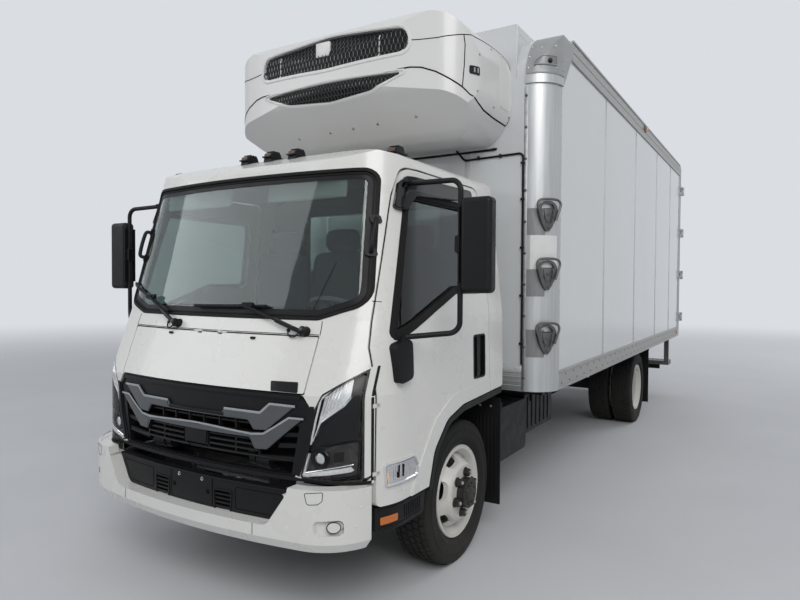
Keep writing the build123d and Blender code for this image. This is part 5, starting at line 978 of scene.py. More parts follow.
MESH_TREE = cad_surface("unit_meshes")
SHELL_TREE = cad_surface("unit_shell", "unit_belly")
UNIT_TREE = cad_surface("unit_shell", "unit_belly", "unit_meshes")
MESH_ZONES = (
    (((-600, 2985, 70), (-560, 3120, 70), (0, 3180, 900), (560, 3120, 70), (600, 2985, 70), (0, 2955, 1500)),
     0.029, 0.050),
    (((-560, 2862, 8), (0, 2868, 900), (560, 2862, 8), (330, 2780, 200), (0, 2760, 500), (-330, 2780, 200)),
     0.026, 0.036),
)
LIPS = (
    ((-612, 2972, 78), (-568, 3132, 74), (0, 3193, 900), (568, 3132, 74), (612, 2972, 78), (0, 2942, 1500)),
    ((-585, 2868, 8), (0, 2881, 900), (585, 2868, 8), (338, 2768, 200), (0, 2747, 500), (-338, 2768, 200)),
)


def on_unit(x, z, out=0.0, tree=SHELL_TREE):
    hit, normal, _, _ = tree.ray_cast(Vector((x, FRONT_AXLE - 1.5, z)), Vector((0, 1, 0)), 3.0)
    return UNIT.front(x, z, out) if hit is None else hit + normal * out


def comb(zone, wide, tall):
    """The sides of the hexagons that cover an outline, each once."""
    low_x, high_x, low_z, high_z = limits(zone)
    edges = set()
    row, z = 0, low_z - tall
    while z < high_z + tall:
        x = low_x - wide + (wide / 2 if row % 2 else 0)
        while x < high_x + wide:
            corners = [(round(x + wide * u, 4), round(z + tall * v, 4)) for u, v in (
                (0, 0.5), (0.5, 0.25), (0.5, -0.25), (0, -0.5), (-0.5, -0.25), (-0.5, 0.25))]
            edges.update((min(a, b), max(a, b)) for a, b in zip(corners, corners[1:] + corners[:1]))
            x += wide
        z += tall * 0.75
        row += 1
    return sorted(edges)


def add_mesh():
    wires, = pieces("chassis", 60, unit_mesh_wires="wire")
    for rows, wide, tall in MESH_ZONES:
        zone = outline(rows, 6)
        for a, b in comb(zone, wide, tall):
            middle = ((a[0] + b[0]) / 2, (a[1] + b[1]) / 2)
            if not inside(zone, *middle):
                continue
            ends = []
            for x, z in (p if inside(zone, *p) else middle for p in (a, b)):
                hit = MESH_TREE.ray_cast(Vector((x, FRONT_AXLE - 1.5, z)), Vector((0, 1, 0)), 3.0)[0]
                if hit is not None:
                    ends.append(hit + Vector((0, -0.003, 0)))
            if len(ends) == 2 and (ends[0] - ends[1]).length > 0.004:
                tube(wires, ends, 0.0031, 4)
        rim = [on_unit(*p, tree=MESH_TREE) + Vector((0, -0.002, 0)) for p in finer(shrunk(zone, 0.006), 0.03)]
        tube(wires, rim, 0.004, 5, closed=True)
    bars, plate = pieces("chassis", 50, unit_mesh_stays="cover", unit_blank_plate="sign")
    for x in (-0.42, 0.38):
        tube(bars, [on_unit(x, 2.97 + 0.02 * k, tree=MESH_TREE) + Vector((0, 0.0005, 0)) for k in range(8)], 0.004, 5)
    y = on_unit(-0.045, 3.09, tree=MESH_TREE).y
    block(plate, (-0.100, y - 0.020, 3.040), (0.010, y + 0.004, 3.140), 0.004)
    lip, = pieces("chassis", 60, unit_mesh_lips="cover")
    for rows in LIPS:
        ribbon(lip, on_unit, outline(rows, 6), 0.016, 0.004, -0.002, closed=True, crown=0.003)
    close()


def around_unit(side):
    """Places on the unit's skin by way round its corner, in metres back from the front, and height."""
    middle = Vector((side * 0.50, FRONT_AXLE + 0.45, 0))

    def place(u, z, out=0.0):
        away = Vector((side * math.cos(u / 0.45), -math.sin(u / 0.45), 0))
        level = middle + Vector((0, 0, z))
        hit, normal, _, _ = SHELL_TREE.ray_cast(level + away * 2.0, -away, 2.0)
        return hit + normal * out if hit is not None else level + away * (0.43 + out)
    return place


def add_unit_seams():
    seam, = pieces("chassis", unit_seams="deep")
    inner, = pieces("chassis", 50, unit_panel_step="cover")
    dark, silver, rail = pieces("chassis", 40, unit_latches="gloss_black", unit_screws="bolt", unit_top_strip="black")

    def screw(at, axis, radius, sides=14):
        rows = ((-0.002, radius), (0.002, radius), (0.0035, radius - 0.003), (0.0035, 0))
        turned(silver, rows, at, axis, sides)
        turned(dark, ((0.003, 0.004), (0.0042, 0.004), (0.0042, 0)), at, axis, 6)

    for side, _ in SIDES:
        place = around_unit(side)
        for path, width, out in (
            (((700, 2877), (618, 2881), (549, 2872), (471, 2840), (411, 2803), (329, 2752), (282, 2715), (190, 2688),
              (100, 2670), (-70, 2660), (-283, 2655)), 0.008, 0.0016),
            (((321, 3056), (313, 3000), (317, 2880), (327, 2755)), 0.005, 0.0014),
            (((668, 3044), (560, 3036), (460, 3034), (390, 3044), (321, 3056), (240, 3068), (150, 3085), (0, 3105),
              (-160, 3118), (-262, 3118), (-283, 3090), (-283, 2655)), 0.005, 0.0014),
        ):
            ribbon(seam, place, line(path), width, out, -0.003, step=0.02)
        rows = outline(((-120, 2740, 15), (-120, 3085, 15), (-255, 3085, 15), (-255, 2740, 15)), 3)
        ribbon(inner, place, rows, 0.006, 0.0022, -0.001, closed=True, crown=0.0006)
        rows = outline(((286, 2836, 10), (286, 2884, 10), (204, 2893, 10), (204, 2840, 10)), 3)
        patch(dark, place, rows, 0.003, -0.002, 0.03)
        strips(silver, place, ((((252, 2850), (252, 2876)), 9, 6, 1, 2), (((224, 2853), (224, 2880)), 9, 6, 1, 2)))
        for u, z in ((0.207, 2.968), (0.223, 2.747), (-0.02, 3.075), (-0.029, 2.712), (-0.268, 3.075), (-0.268, 2.706)):
            screw(place(u, z), place(u, z, 0.01) - place(u, z), 0.009)
    for x, y in ((-0.452, 0.218), (-0.166, 0.206), (0.031, 0.200), (0.232, 0.194), (0.527, 0.183)):
        hit, normal, _, _ = SHELL_TREE.ray_cast(Vector((x, FRONT_AXLE + y, 1.0)), Vector((0, 0, 1)), 3.0)
        if hit is not None:
            screw(hit, normal, 0.011)
    hits = [UNIT_TREE.ray_cast(Vector((0.78, FRONT_AXLE + 0.13 + 0.05 * k, 4.0)), Vector((0, 0, -1)), 3.0)[0]
            for k in range(12)]
    tube(rail, [hit + Vector((0, 0, 0.002)) for hit in hits if hit is not None], 0.005, 6)
    close()


add_mesh()
add_unit_seams()


# Load box: posts, caps, rails, panel joints, signs and the rear doors

# Step loops: half of the foot's rim, half of the arch, and the bolts with their radius
STEP_RIM = ((0.050, 0.030), (0.058, -0.02), (0.040, -0.085), (0.012, -0.120))
STEP_ARCH = ((0.050, -0.050, 0.034), (0.066, 0.0, 0.036), (0.082, 0.052, 0.036), (0.062, 0.082, 0.036))
STEP_BOLTS = ((0, -0.012, 0.013), (0, -0.055, 0.010), (0, -0.096, 0.008), (0.030, -0.030, 0.006),
              (-0.030, -0.030, 0.006))


def post_centre(side, z):
    return Vector((side * POST_X, POST_Y, z))


def on_post(turn, z, out=0.0, side=1):
    """A place on a corner post: turn runs from 0, square to the front, to 1 for a hundred degrees round."""
    a = math.radians(turn * 100)
    return post_centre(side, z) + Vector((side * math.sin(a), -math.cos(a), 0)) * (POST_RADIUS + out)


def add_posts():
    plates, sign, base = pieces("chassis", 40, post_plates="post_plate", post_blank_sign="sign", step_loop_bases="cast")
    trim, = pieces("chassis", 50, post_strips="galvanised")
    screws, dark = pieces("chassis", post_rivets="bolt", step_loop_bolts="iron")
    for side, _ in SIDES:
        def around(turn, z, out):
            return on_post(turn, z, out, side)
        for low, high in ((1.922, 2.099), (1.515, 1.695), (1.111, 1.295)):
            patch(plates, around, [(0.03, low), (0.03, high), (0.42, high), (0.42, low)], 0.0012, -0.001, 0.07)
        patch(sign, around, [(0.12, 1.697), (0.12, 1.920), (0.72, 1.920), (0.72, 1.697)], 0.0016, -0.001, 0.07)
        x, y = side * (POST_X + 0.004), BODY_FRONT - 0.0035
        block(trim, (x - 0.013, y, 0.885), (x + 0.011, y + 0.0055, 2.90), 0.001)
        rivets(dark, (x, y, 0.97), (x, y, 2.842), 10, (0, -1, 0), 0.010, 0.006, 12)
        low = on_post(0.86, 0.93, 0.0, side)
        rivets(screws, low, low + Vector((0, 0, 1.95)), 26, low - post_centre(side, low.z), 0.0045, 0.0025)
        for height in (1.253, 1.677, 2.066):
            centre = on_post(0.45, height, 0.0, side)
            normal = (centre - post_centre(side, height)).normalized()
            across = Vector((0, 0, 1)).cross(normal)

            def spot(u, v, w):
                return centre + across * u + Vector((0, 0, v)) + normal * w

            def bent(rows, steps):
                return smooth_path([spot(*row) for row in rows], steps)
            rim = [(s * u, v) for s in (-1, 1) for u, v in STEP_RIM]
            hull(base, [spot(u * 0.9, v, w) for u, v in rim for w in (-0.004, 0.020)]
                 + [spot(u * 0.6, v * 0.8, 0.030) for u, v in rim])
            arch = [*STEP_ARCH, (0, 0.088, 0.036), *((-u, v, w) for u, v, w in reversed(STEP_ARCH))]
            tube(base, bent(arch, 4), 0.0085, 8)
            for u, v, radius in STEP_BOLTS:
                rows = ((0.0, 0), (0.0, radius), (0.006, radius), (0.008, radius * 0.7), (0.008, 0))
                turned(dark, rows, spot(u, v, 0.028), normal, 12)
            for u in (-0.034, 0.034):
                tube(dark, bent(((u, 0.02, 0.030), (u * 0.9, -0.02, 0.040), (u * 0.5, -0.07, 0.034)), 3), 0.004, 6)
    close()


def add_caps():
    tree = cad_surface("corner_caps")
    band, recess_shade, collar, dark = pieces("chassis", 50, cap_bands="cap", cap_recesses="post_plate",
                                      post_collars="aluminium", cap_lamps="gloss_black")
    screws, = pieces("chassis", cap_screws="bolt")
    for side, _ in SIDES:
        def around(turn, z, out):
            middle = post_centre(side, z)
            start = on_post(turn, z, 0.414, side)
            hit, normal, _, _ = tree.ray_cast(start, (middle - start).normalized(), 1.0)
            return on_post(turn, z, 0.009 + out, side) if hit is None else hit + normal * out
        for piece, z, ends, width, out, crown in ((collar, 2.950, (0.0, 0.90), 0.060, 0.0015, 0.0),
                                                  (band, 2.988, (0.02, 0.88), 0.020, 0.006, 0.003)):
            path = [(ends[0], z), (0.45, z), (ends[1], z)]
            ribbon(piece, around, path, width, out, -0.002, step=0.05, crown=crown)
        # The cap's recess is a flat darker grey patch standing out on the cap: painted shade
        recess = [(0.16, 3.036), (0.20, 3.072), (0.32, 3.094), (0.60, 3.094), (0.62, 3.036)]
        patch(recess_shade, around, recess, 0.004, -0.002, 0.05)
        ribbon(band, around, recess, 0.008, 0.007, -0.002, closed=True, step=0.04, crown=0.002)
        at = around(0.46, 3.060, 0.005)
        rows = ((-0.002, 0.0), (-0.002, 0.016), (0.004, 0.016), (0.010, 0.012), (0.013, 0.0))
        turned(dark, rows, at, at - post_centre(side, at.z), 16)
        for turn, z in ((0.04, 3.02), (0.04, 3.10), (0.30, 3.02), (0.62, 3.02), (0.86, 3.02), (0.86, 3.09),
                        (0.06, 3.18), (0.34, 3.16), (0.60, 3.16)):
            at = around(turn, z, 0.001)
            rivet(screws, at, at - post_centre(side, at.z), 0.007, 0.004, 10)
    close()


SEAMS = (-0.597, 0.659, 1.869, 2.890)
# Height from, height to, reach, front end, edge
RAIL_LIPS = ((0.990, 1.010, 0.004, -1.815, 0.0015), (0.884, 0.900, 0.006, -1.815, 0.002),
             (3.152, 3.166, 0.004, -1.592, 0.0015), (3.286, 3.304, 0.007, -1.592, 0.002),
             (3.222, 3.228, 0.003, -1.592, 0.001))


def add_sides():
    seam, rail, foot, seal, corners = pieces("chassis", 50, panel_joints="panel", rail_lips="rail",
                                             front_foot_strip="post_plate", unit_seal="rubber",
                                             spacer_corner_strips="cover")
    screws, pins = pieces("chassis", panel_rivets="bolt", rail_rivets="iron")
    lamps, feet, clips = pieces("chassis", 40, marker_lamps="amber", marker_lamp_feet="cast", cable_clips="black")
    for side, _ in SIDES:
        axis = (side, 0, 0)

        def slab(piece, x, depth, y, z, edge):
            block(piece, (side * x, y[0], z[0]), (side * (x + depth), y[1], z[1]), edge)

        def lamp(y, rows):
            hull(lamps, [(side * (HALF_BODY + d), y + s * w, z + h) for s in (-1, 1) for d, w, z, rise in rows
                         for h in (-rise, rise)])
        for y in SEAMS:
            slab(seam, HALF_SKIN - 0.001, 0.0032, (y - 0.022, y + 0.022), (1.012, 3.150), 0.0012)
            x = side * (HALF_SKIN + 0.0022)
            rivets(screws, (x, y, 1.04), (x, y, 3.1255), 44, axis, 0.0045, 0.0022)
        for low, high, reach, front, edge in RAIL_LIPS:
            slab(rail, HALF_BODY - 0.001, reach + 0.001, (front, 3.675), (low, high), edge)
        for piece, count, start, end, heights, radius, rise in (
            (pins, 58, -1.76, 3.62, (0.922, 0.975), 0.0075, 0.0035),
            (screws, 62, -1.55, 3.63, (3.258, 3.196), 0.0055, 0.003),
        ):
            for i in range(count):
                y = start + i * (end - start) / (count - 1)
                rivet(piece, (side * HALF_BODY, y, heights[i % 2]), axis, radius, rise)
        slab(feet, HALF_BODY + 0.001, 0.011, (1.024, 1.114), (3.222, 3.278), 0.004)
        lamp(1.069, ((0.010, 0.036, 3.250, 0.020), (0.028, 0.026, 3.250, 0.013)))
        lamp(3.58, ((0.003, 0.032, 0.949, 0.019), (0.013, 0.024, 0.949, 0.013)))
        slab(corners, 0.962, 0.005, (BODY_FRONT - 0.002, BODY_FRONT + 0.022), (2.975, 3.322), 0.002)
        x, y = side * 0.9645, BODY_FRONT + 0.06
        rivets(screws, (x, y, 3.27), (x, y + 0.25, 3.27), 6, axis, 0.005, 0.003)
    y, axis = BODY_FRONT, (0, -1, 0)
    for x in (-0.61, 0.0, 0.61):
        block(seam, (x - 0.018, y - 0.002, 1.05), (x + 0.018, y + 0.001, 2.50), 0.001)
        rivets(screws, (x, y - 0.002, 1.08), (x, y - 0.002, 2.4865), 30, axis, 0.0045, 0.002)
    x = POST_X - 0.01
    block(foot, (-x, y - 0.005, 0.884), (x, y + 0.001, 1.052), 0.002)
    for z in (0.915, 0.945, 0.975, 1.005):
        block(foot, (-x, y - 0.009, z - 0.004), (x, y - 0.003, z + 0.004), 0.002)
    rivets(screws, (-0.98, y - 0.005, 1.035), (0.98, y - 0.005, 1.035), 22, axis, 0.006, 0.003)
    for z in (1.20, 1.52, 1.84, 2.16, 2.40):
        block(clips, (1.006, y - 0.020, z - 0.008), (1.032, y - 0.001, z + 0.008))
    for x in (0.70, 0.86):
        block(clips, (x - 0.008, y - 0.020, 2.448), (x + 0.008, y - 0.001, 2.474))
    rows = ((-0.80, 2.515), (-0.70, 2.508), (0.70, 2.508), (0.80, 2.515))
    tube(seal, smooth_path([(x, y - 0.006, z) for x, z in rows], 4), 0.008, 6)
    close()


ROD_PLACES = (0.30, 0.78)


def add_load_door(side, name):
    body, tail, face = "load_door_" + name, "_" + name, DOOR_BACK
    seal, frame_strip = pieces(body, 50, tail, load_door_seal="seal", load_door_frame="galvanised")
    bolts, = pieces(body, 35, tail, load_door_bolts="bolt")
    catches, tape = pieces(body, 40, tail, lock_keepers="galvanised", load_door_reflectors="red")
    low_x, high_x, low_z, high_z = 0.006, 1.205, 0.901, 3.279
    for a, b in (((low_x, low_z), (high_x, low_z)), ((low_x, high_z), (high_x, high_z)),
                 ((low_x + 0.006, low_z), (low_x + 0.006, high_z)), ((high_x, low_z), (high_x, high_z))):
        tube(seal, [(side * x, face - 0.035, z) for x, z in (a, b)], 0.012, 8)
    for z in (0.918, 3.262):
        block(frame_strip, (side * 0.010, face - 0.001, z - 0.016), (side * 1.200, face + 0.003, z + 0.016), 0.001)
    for x in (side * 0.022, side * 1.190):
        block(frame_strip, (x - 0.012, face - 0.001, 0.902), (x + 0.012, face + 0.003, 3.278), 0.001)
        rivets(bolts, (x, face + 0.003, 0.94), (x, face + 0.003, 3.24), 40, (0, 1, 0), 0.005, 0.0025)
    for height in (1.15, 1.75, 2.35, 2.95):
        for x in (1.005, 1.060, 1.115, 1.165):
            bolt(bolts, (side * x, face + 0.0145, height), (0, 1, 0), 0.009, 0.007)
    for rod in ROD_PLACES:
        for height in (0.99, 1.48, 2.18, 3.21):
            for dx in (-0.024, 0.024):
                bolt(bolts, (side * rod + dx, face + 0.012, height), (0, 1, 0), 0.007, 0.006)
        for z in (0.913, 3.262):
            rows = ((-0.014, 0.0), (-0.014, 0.0165), (0.014, 0.0165), (0.014, 0.0))
            turned(catches, rows, (side * rod, face + 0.0200, z), (0, 0, 1), 16)
        block(catches, (side * (rod + 0.20), face + 0.001, 1.262), (side * (rod + 0.29), face + 0.008, 1.350))
        grip = [(side * (rod + x), face + y, 1.306) for x, y in ((0.03, 0.030), (0.14, 0.034), (0.275, 0.032))]
        tube(catches, smooth_path(grip, 3), 0.010, 8)
    block(tape, (side * 0.90, face + 0.0005, 0.955), (side * 1.12, face + 0.003, 0.990), 0.001)
    close()


def add_rear():
    lamps, turns, house, pale, step, high = pieces(
        "chassis", 40, tail_lamps="red", tail_turn_lamps="amber", tail_lamp_housings="black",
        tail_plate_lamp="pale_lens", rear_step_treads="cast", rear_top_lamps="red")
    back = DOOR_BACK + 0.105
    for side, _ in SIDES:
        for piece, x in ((lamps, 0.90), (turns, 0.79), (lamps, 0.68)):
            at = (side * x, back - 0.055, 0.428)
            turned(house, ((-0.03, 0.0), (-0.03, 0.040), (0.0, 0.048), (0.016, 0.048), (0.018, 0.043), (0.012, 0.041)),
                   at, (0, 1, 0), 24)
            turned(piece, ((0.010, 0.041), (0.018, 0.038), (0.024, 0.024), (0.026, 0.0)), at, (0, 1, 0), 24)
        block(house, (side * 0.62, back - 0.075, 0.372), (side * 0.96, back - 0.060, 0.455), 0.004)
        hull(lamps, [(side * x, y, z) for x in (0.99, 1.07) for y, z in (
            (back - 0.001, 0.462), (back - 0.001, 0.492), (back, 0.467), (back, 0.487))])
        block(pale, (side * 0.15 - 0.03, back - 0.090, 0.440), (side * 0.15 + 0.03, back - 0.060, 0.452), 0.004)
    for i in range(34):
        x = -1.07 + i * 2.14 / 33
        block(step, (x - 0.006, 3.80, 0.5045), (x + 0.006, back - 0.008, 0.5085), 0.001)
    block(step, (-1.10, back - 0.006, 0.450), (1.10, back - 0.0005, 0.509), 0.002)
    for x in (-1.10, -0.16, 0.0, 0.16, 1.10):
        hull(high, [(x + s * w, y, 3.289 + t * h) for s in (-1, 1) for t in (-1, 1) for y, w, h in (
            (3.777, 0.036, 0.008), (3.787, 0.030, 0.005))])
    close()


add_posts()
add_caps()
add_sides()
for side, name in SIDES:
    add_load_door(side, name)
add_rear()


# Wheels: tyres with tread blocks, dark nuts and hubs, valves

TYRE_PROFILE = (
    (-86.8, 248.0), (-88.0, 261.0), (-96.0, 270.0), (-104.5, 286.0), (-106.2, 288.0), (-111.0, 308.0),
    (-112.8, 324.0), (-111.8, 344.0), (-112.2, 346.0), (-109.5, 364.0), (-108.8, 366.0), (-106.0, 383.0),
    (-103.0, 392.0), (-98.5, 396.5), (-60.0, 397.2), (0.0, 397.5),
)
TREAD_ROWS = ((-0.0975, -0.0640), (-0.0575, -0.0235), (-0.0170, 0.0170), (0.0235, 0.0575), (0.0640, 0.0975))
TREAD_BLOCKS, TREAD_SKEW, TREAD_DRAW = 58, 0.012, 0.0010
NUT_CIRCLE, BEAD_RING, TWIN = 0.111125, 0.2560, 0.127


def tyre_mesh(piece, centre):
    def place(width, radius, turn):
        return Vector((centre[0] + width, centre[1] + radius * math.cos(turn), centre[2] + radius * math.sin(turn)))
    rows = [(w / 1000, r / 1000) for w, r in TYRE_PROFILE]
    rows += [(-w, r) for w, r in reversed(rows[:-1])]
    verts = [place(w, r, 2 * math.pi * k / 96) for w, r in rows for k in range(96)]
    piece.add(verts, grid_faces(len(rows), 96, True))
    for row, (low, high) in enumerate(TREAD_ROWS):
        outer = row in (0, 4)
        span = 2 * math.pi / TREAD_BLOCKS * (0.90 if outer else 0.86)
        skew = TREAD_SKEW if row % 2 else -TREAD_SKEW
        for k in range(TREAD_BLOCKS):
            start = 2 * math.pi * (k + 0.5 * (row % 2)) / TREAD_BLOCKS
            corners = []
            for level, draw in ((0.3960, 0.0), (0.4047, TREAD_DRAW)):
                for w, t in ((low + draw, start + draw), (high - draw, start + skew + draw),
                             (high - draw, start + span * 0.5 + skew), (high - draw, start + span + skew - draw),
                             (low + draw, start + span - draw), (low + draw, start + span * 0.5)):
                    notch = 0.0025 if abs(t - start - span * 0.5) < skew + 0.02 and draw else 0.0
                    radius = level - 0.0035 if outer and abs(w) > 0.09 else level
                    corners.append(place(w + (notch if w < (low + high) / 2 else -notch), radius, t))
            sides = [[i, (i + 1) % 6, 6 + (i + 1) % 6, 6 + i] for i in range(6)]
            piece.add(corners, [[0, 1, 2, 3, 4, 5], [11, 10, 9, 8, 7, 6], *sides])
    for side, _ in SIDES:
        for out, radius in ((0.1098, 0.300), (0.1123, 0.352)):
            ring(piece, (centre[0] + side * out, centre[1], centre[2]), radius, 0.0013, 4, 64)
        for k in range(120):
            turn = 2 * math.pi * k / 120
            tube(piece, [place(side * 0.1072, 0.3800, turn), place(side * 0.1012, 0.3930, turn)], 0.0012, 3)


def add_wheel(side, name, axle):
    front = axle == "front"
    y, half_track = (FRONT_AXLE, 0.833) if front else (REAR_AXLE, 0.8255)
    body, rim, tyre = (form + name for form in (
        ("front_wheel_", "rim_front_", "tyre_front_") if front else ("rear_wheels_", "rims_rear_", "tyres_rear_")))
    # How far the disc and the hub's end stand out from the wheel's middle
    disc, end = (0.127, 0.171) if front else (0.013, 0.152)
    tail, axis = "_%s_%s" % (axle, name), (side, 0, 0)
    middle = Vector((side * half_track, y, WHEEL_LEVEL))
    tread, nuts = pieces(body, 30, tail, tyre_tread="tyre", wheel_nuts="nut")
    hub, studs, valve = pieces(body, 35, tail, hub_cap="nut", wheel_studs="bolt", valve="bolt")
    rings, = pieces(body, 50, tail, rim_details="wheel")
    for offset in (0.0,) if front else (-TWIN, TWIN):
        tyre_mesh(tread, middle + Vector((offset, 0, 0)))

    def dark(c, n):
        radius = math.hypot(c.y - y, c.z - WHEEL_LEVEL)
        return radius < 0.0848 or radius < 0.141 and side * (c.x - middle.x) > disc + 0.0005
    paint_faces(rim, "nut", dark)
    rows = ((disc + 0.002, 0.0848), (disc + 0.008, 0.0862), (disc + 0.014, 0.0852), (end - 0.010, 0.0810),
            (end - 0.002, 0.0760), (end + 0.0012, 0.070), (end + 0.0015, 0.045), (end + 0.0060, 0.043),
            (end + 0.0075, 0.036), (end + 0.0080, 0.0))
    turned(hub, rows, middle, axis, 40)
    for c, s in circle(8, math.pi / 8):
        bolt(hub, middle + Vector((side * (end + 0.0010), 0.058 * c, 0.058 * s)), axis, 0.0085, 0.007)
    for c, s in circle(6, math.radians(17)):
        spot = middle + Vector((side * disc, NUT_CIRCLE * c, NUT_CIRCLE * s))
        turned(nuts, ((0.0, 0.0), (0.0, 0.0275), (0.004, 0.0275), (0.006, 0.024), (0.006, 0.0)), spot, axis, 24)
        turned(studs, ((0.020, 0.0), (0.020, 0.0105), (0.0375, 0.0105), (0.040, 0.008), (0.040, 0.0)), spot, axis, 12)
        turned(nuts, ((0.026, 0.0205), (0.0285, 0.0195), (0.030, 0.013), (0.030, 0.0)), spot, axis, 6)
    face = middle if front else middle + Vector((side * TWIN, 0, 0))
    ring(rings, face + Vector((side * 0.0955, 0, 0)), BEAD_RING, 0.0045, 6, 64)
    if front:
        for radius in (0.150, 0.096):
            ring(rings, face + Vector((side * 0.1272, 0, 0)), radius, 0.0018, 5, 56)
    c, s = math.cos(math.radians(77)), math.sin(math.radians(77))
    foot = face + Vector((side * (0.05 if front else 0.03), 0.222 * c, 0.222 * s))
    tip = face + Vector((side * 0.098, 0.196 * c, 0.196 * s))
    tube(valve, [foot, foot.lerp(tip, 0.5), tip], 0.0040, 8)
    tube(valve, [tip, tip + (tip - foot).normalized() * 0.014], 0.0055, 8)
    if front:
        brake, = pieces("steering_" + name, 35, "_" + name, brake_drum="brake")
        rows = ((-0.070, 0.060), (-0.070, 0.165), (-0.062, 0.178), (0.010, 0.178), (0.014, 0.120))
        turned(brake, rows, middle, axis, 44)
    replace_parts(close()["tyre_tread" + tail], tyre)


for axle in ("front", "rear"):
    for side, name in SIDES:
        add_wheel(side, name, axle)


# Under the truck: frame bolts, tank straps, pipes, air tanks, exhaust

def add_frame_bolts():
    bolts, flap = pieces("chassis", frame_bolts="iron", mudflap_bolts="bolt")
    clamps, = pieces("chassis", 40, spring_clamps="iron")
    ribs, = pieces("chassis", 50, mudflap_ribs="rubber")
    for side, _ in SIDES:
        for i in range(52):
            y = FRONT_AXLE - 0.70 + i * 0.120
            for z in (0.690, 0.800):
                if (i + (z > 0.7)) % 3:
                    bolt(bolts, (side * 0.425, y, z), (side, 0, 0), 0.011, 0.009)
        for axle_y, low in ((FRONT_AXLE, 0.40), (REAR_AXLE, 0.46)):
            for dy in (-0.055, 0.055):
                rows = ((-0.040, -0.06), (-0.040, 0.10), (0.040, 0.10), (0.040, -0.06))
                tube(clamps, [(side * 0.370 + x, axle_y + dy, low + z) for x, z in rows], 0.008, 8)
        for k in range(5):
            bolt(flap, (side * (0.62 + 0.075 * k), FRONT_AXLE + 0.482, 0.815), (0, -1, 0), 0.008, 0.006)
            x = side * (0.66 + 0.09 * k)
            bolt(flap, (x, REAR_AXLE + 0.520, 0.82), (0, -1, 0), 0.008, 0.006)
            rivet(flap, (x, REAR_AXLE + 0.528, 0.20), (0, 1, 0), 0.008, 0.004)
        for start, step, count, y, low, high in ((0.720, 0.026, 10, FRONT_AXLE + 0.4785, 0.22, 0.76),
                                                 (0.620, 0.030, 16, REAR_AXLE + 0.5165, 0.18, 0.80)):
            for k in range(count):
                x = side * (start + step * k)
                block(ribs, (x - 0.004, y, low), (x + 0.004, y + 0.004, high), 0.001)
    close()


def add_tanks():
    straps, pads = pieces("chassis", 50, tank_straps="bolt", tank_strap_pads="rubber")
    for y in (1.200, 1.475, 1.750):
        for piece, wide, out in ((straps, 0.020, 4), (pads, 0.028, 1.5)):
            low_x, low_z, high_z = -880 - out, 420 - out, 800 + out
            section = outline(((low_x, low_z, 62), (low_x, high_z, 62), (-432, high_z, 2), (-432, low_z, 2)), 5)
            verts = [(p[0], FRONT_AXLE + y + side * wide, p[1]) for p in section for side in (-1, 1)]
            piece.add(verts, grid_faces(len(section), 2, True)[::2])
    lid, blue, box, tank = pieces("chassis", 40, tank_cap="iron", service_tank_cap="blue",
                                  battery_box_parts="black", air_tanks="chassis")
    rows = ((-0.004, 0.0), (-0.004, 0.050), (0.018, 0.048), (0.024, 0.042), (0.026, 0.0))
    turned(lid, rows, (-0.76, FRONT_AXLE + 1.14, 0.790), (-0.5, 0, 0.86), 24)
    rows = ((0.050, 0.0345), (0.052, 0.040), (0.074, 0.039), (0.078, 0.034), (0.079, 0.0))
    turned(blue, rows, (0.820, FRONT_AXLE + 0.640, 0.750), (0, 0, 1), 24)
    for c, s in circle(12):
        x, y = 0.820 + 0.0395 * c, FRONT_AXLE + 0.640 + 0.0395 * s
        tube(blue, [(x, y, 0.804), (x, y, 0.822)], 0.0025, 5)
    y = FRONT_AXLE + 1.26
    for k in range(6):
        block(box, (0.858, y + 0.06 + 0.095 * k, 0.50), (0.866, y + 0.085 + 0.095 * k, 0.74))
    block(box, (0.44, y - 0.006, 0.762), (0.868, y + 0.646, 0.790), 0.006)
    for dy in (0.14, 0.50):
        block(box, (0.858, y + dy - 0.02, 0.70), (0.876, y + dy + 0.02, 0.80), 0.004)
    rows = [(s * a, r) for s, ends in ((-1, (0.33, 0.32, 0.28, 0.24)), (1, (0.24, 0.28, 0.32, 0.33)))
            for a, r in zip(ends, (0.0, 0.06, 0.105, 0.118)[::-s])]
    for x, y in ((0.62, FRONT_AXLE + 2.20), (-0.62, FRONT_AXLE + 2.30)):
        turned(tank, rows, (x, y, 0.690), (0, 1, 0), 32)
        for dy in (-0.16, 0.16):
            ring(tank, (x, y + dy, 0.690), 0.121, 0.006, 6, 32, 1)
            block(tank, (math.copysign(0.425, x), y + dy - 0.015, 0.67), (x, y + dy + 0.015, 0.71), 0.004)
    close()


HOSES = (
    ((0.46, 0.62, 0.80), (0.50, 0.90, 0.84), (0.52, 1.20, 0.83), (0.50, 1.60, 0.82), (0.50, 2.10, 0.80)),
    ((0.44, 1.95, 0.72), (0.50, 2.05, 0.76), (0.58, 2.10, 0.80), (0.62, 2.15, 0.80)),
    ((-0.46, 0.60, 0.80), (-0.52, 1.00, 0.83), (-0.52, 1.60, 0.82), (-0.50, 2.20, 0.81)),
    ((0.43, 2.60, 0.78), (0.46, 3.20, 0.79), (0.45, 3.90, 0.79), (0.43, 4.30, 0.70), (0.42, 4.44, 0.56)),
)
FRONT_PIPE = ((-0.33, 0.20, 0.62), (-0.34, 0.55, 0.58), (-0.34, 0.80, 0.56))
REAR_PIPE = ((-0.28, 1.46, 0.53), (-0.28, 2.6, 0.55), (-0.30, 3.6, 0.60), (-0.34, 4.1, 0.76))
SILENCER = ((0, 0.0), (0.0, 0.055), (0.02, 0.105), (0.05, 0.115), (0.62, 0.115), (0.65, 0.105), (0.67, 0.055),
            (0.67, 0.0))


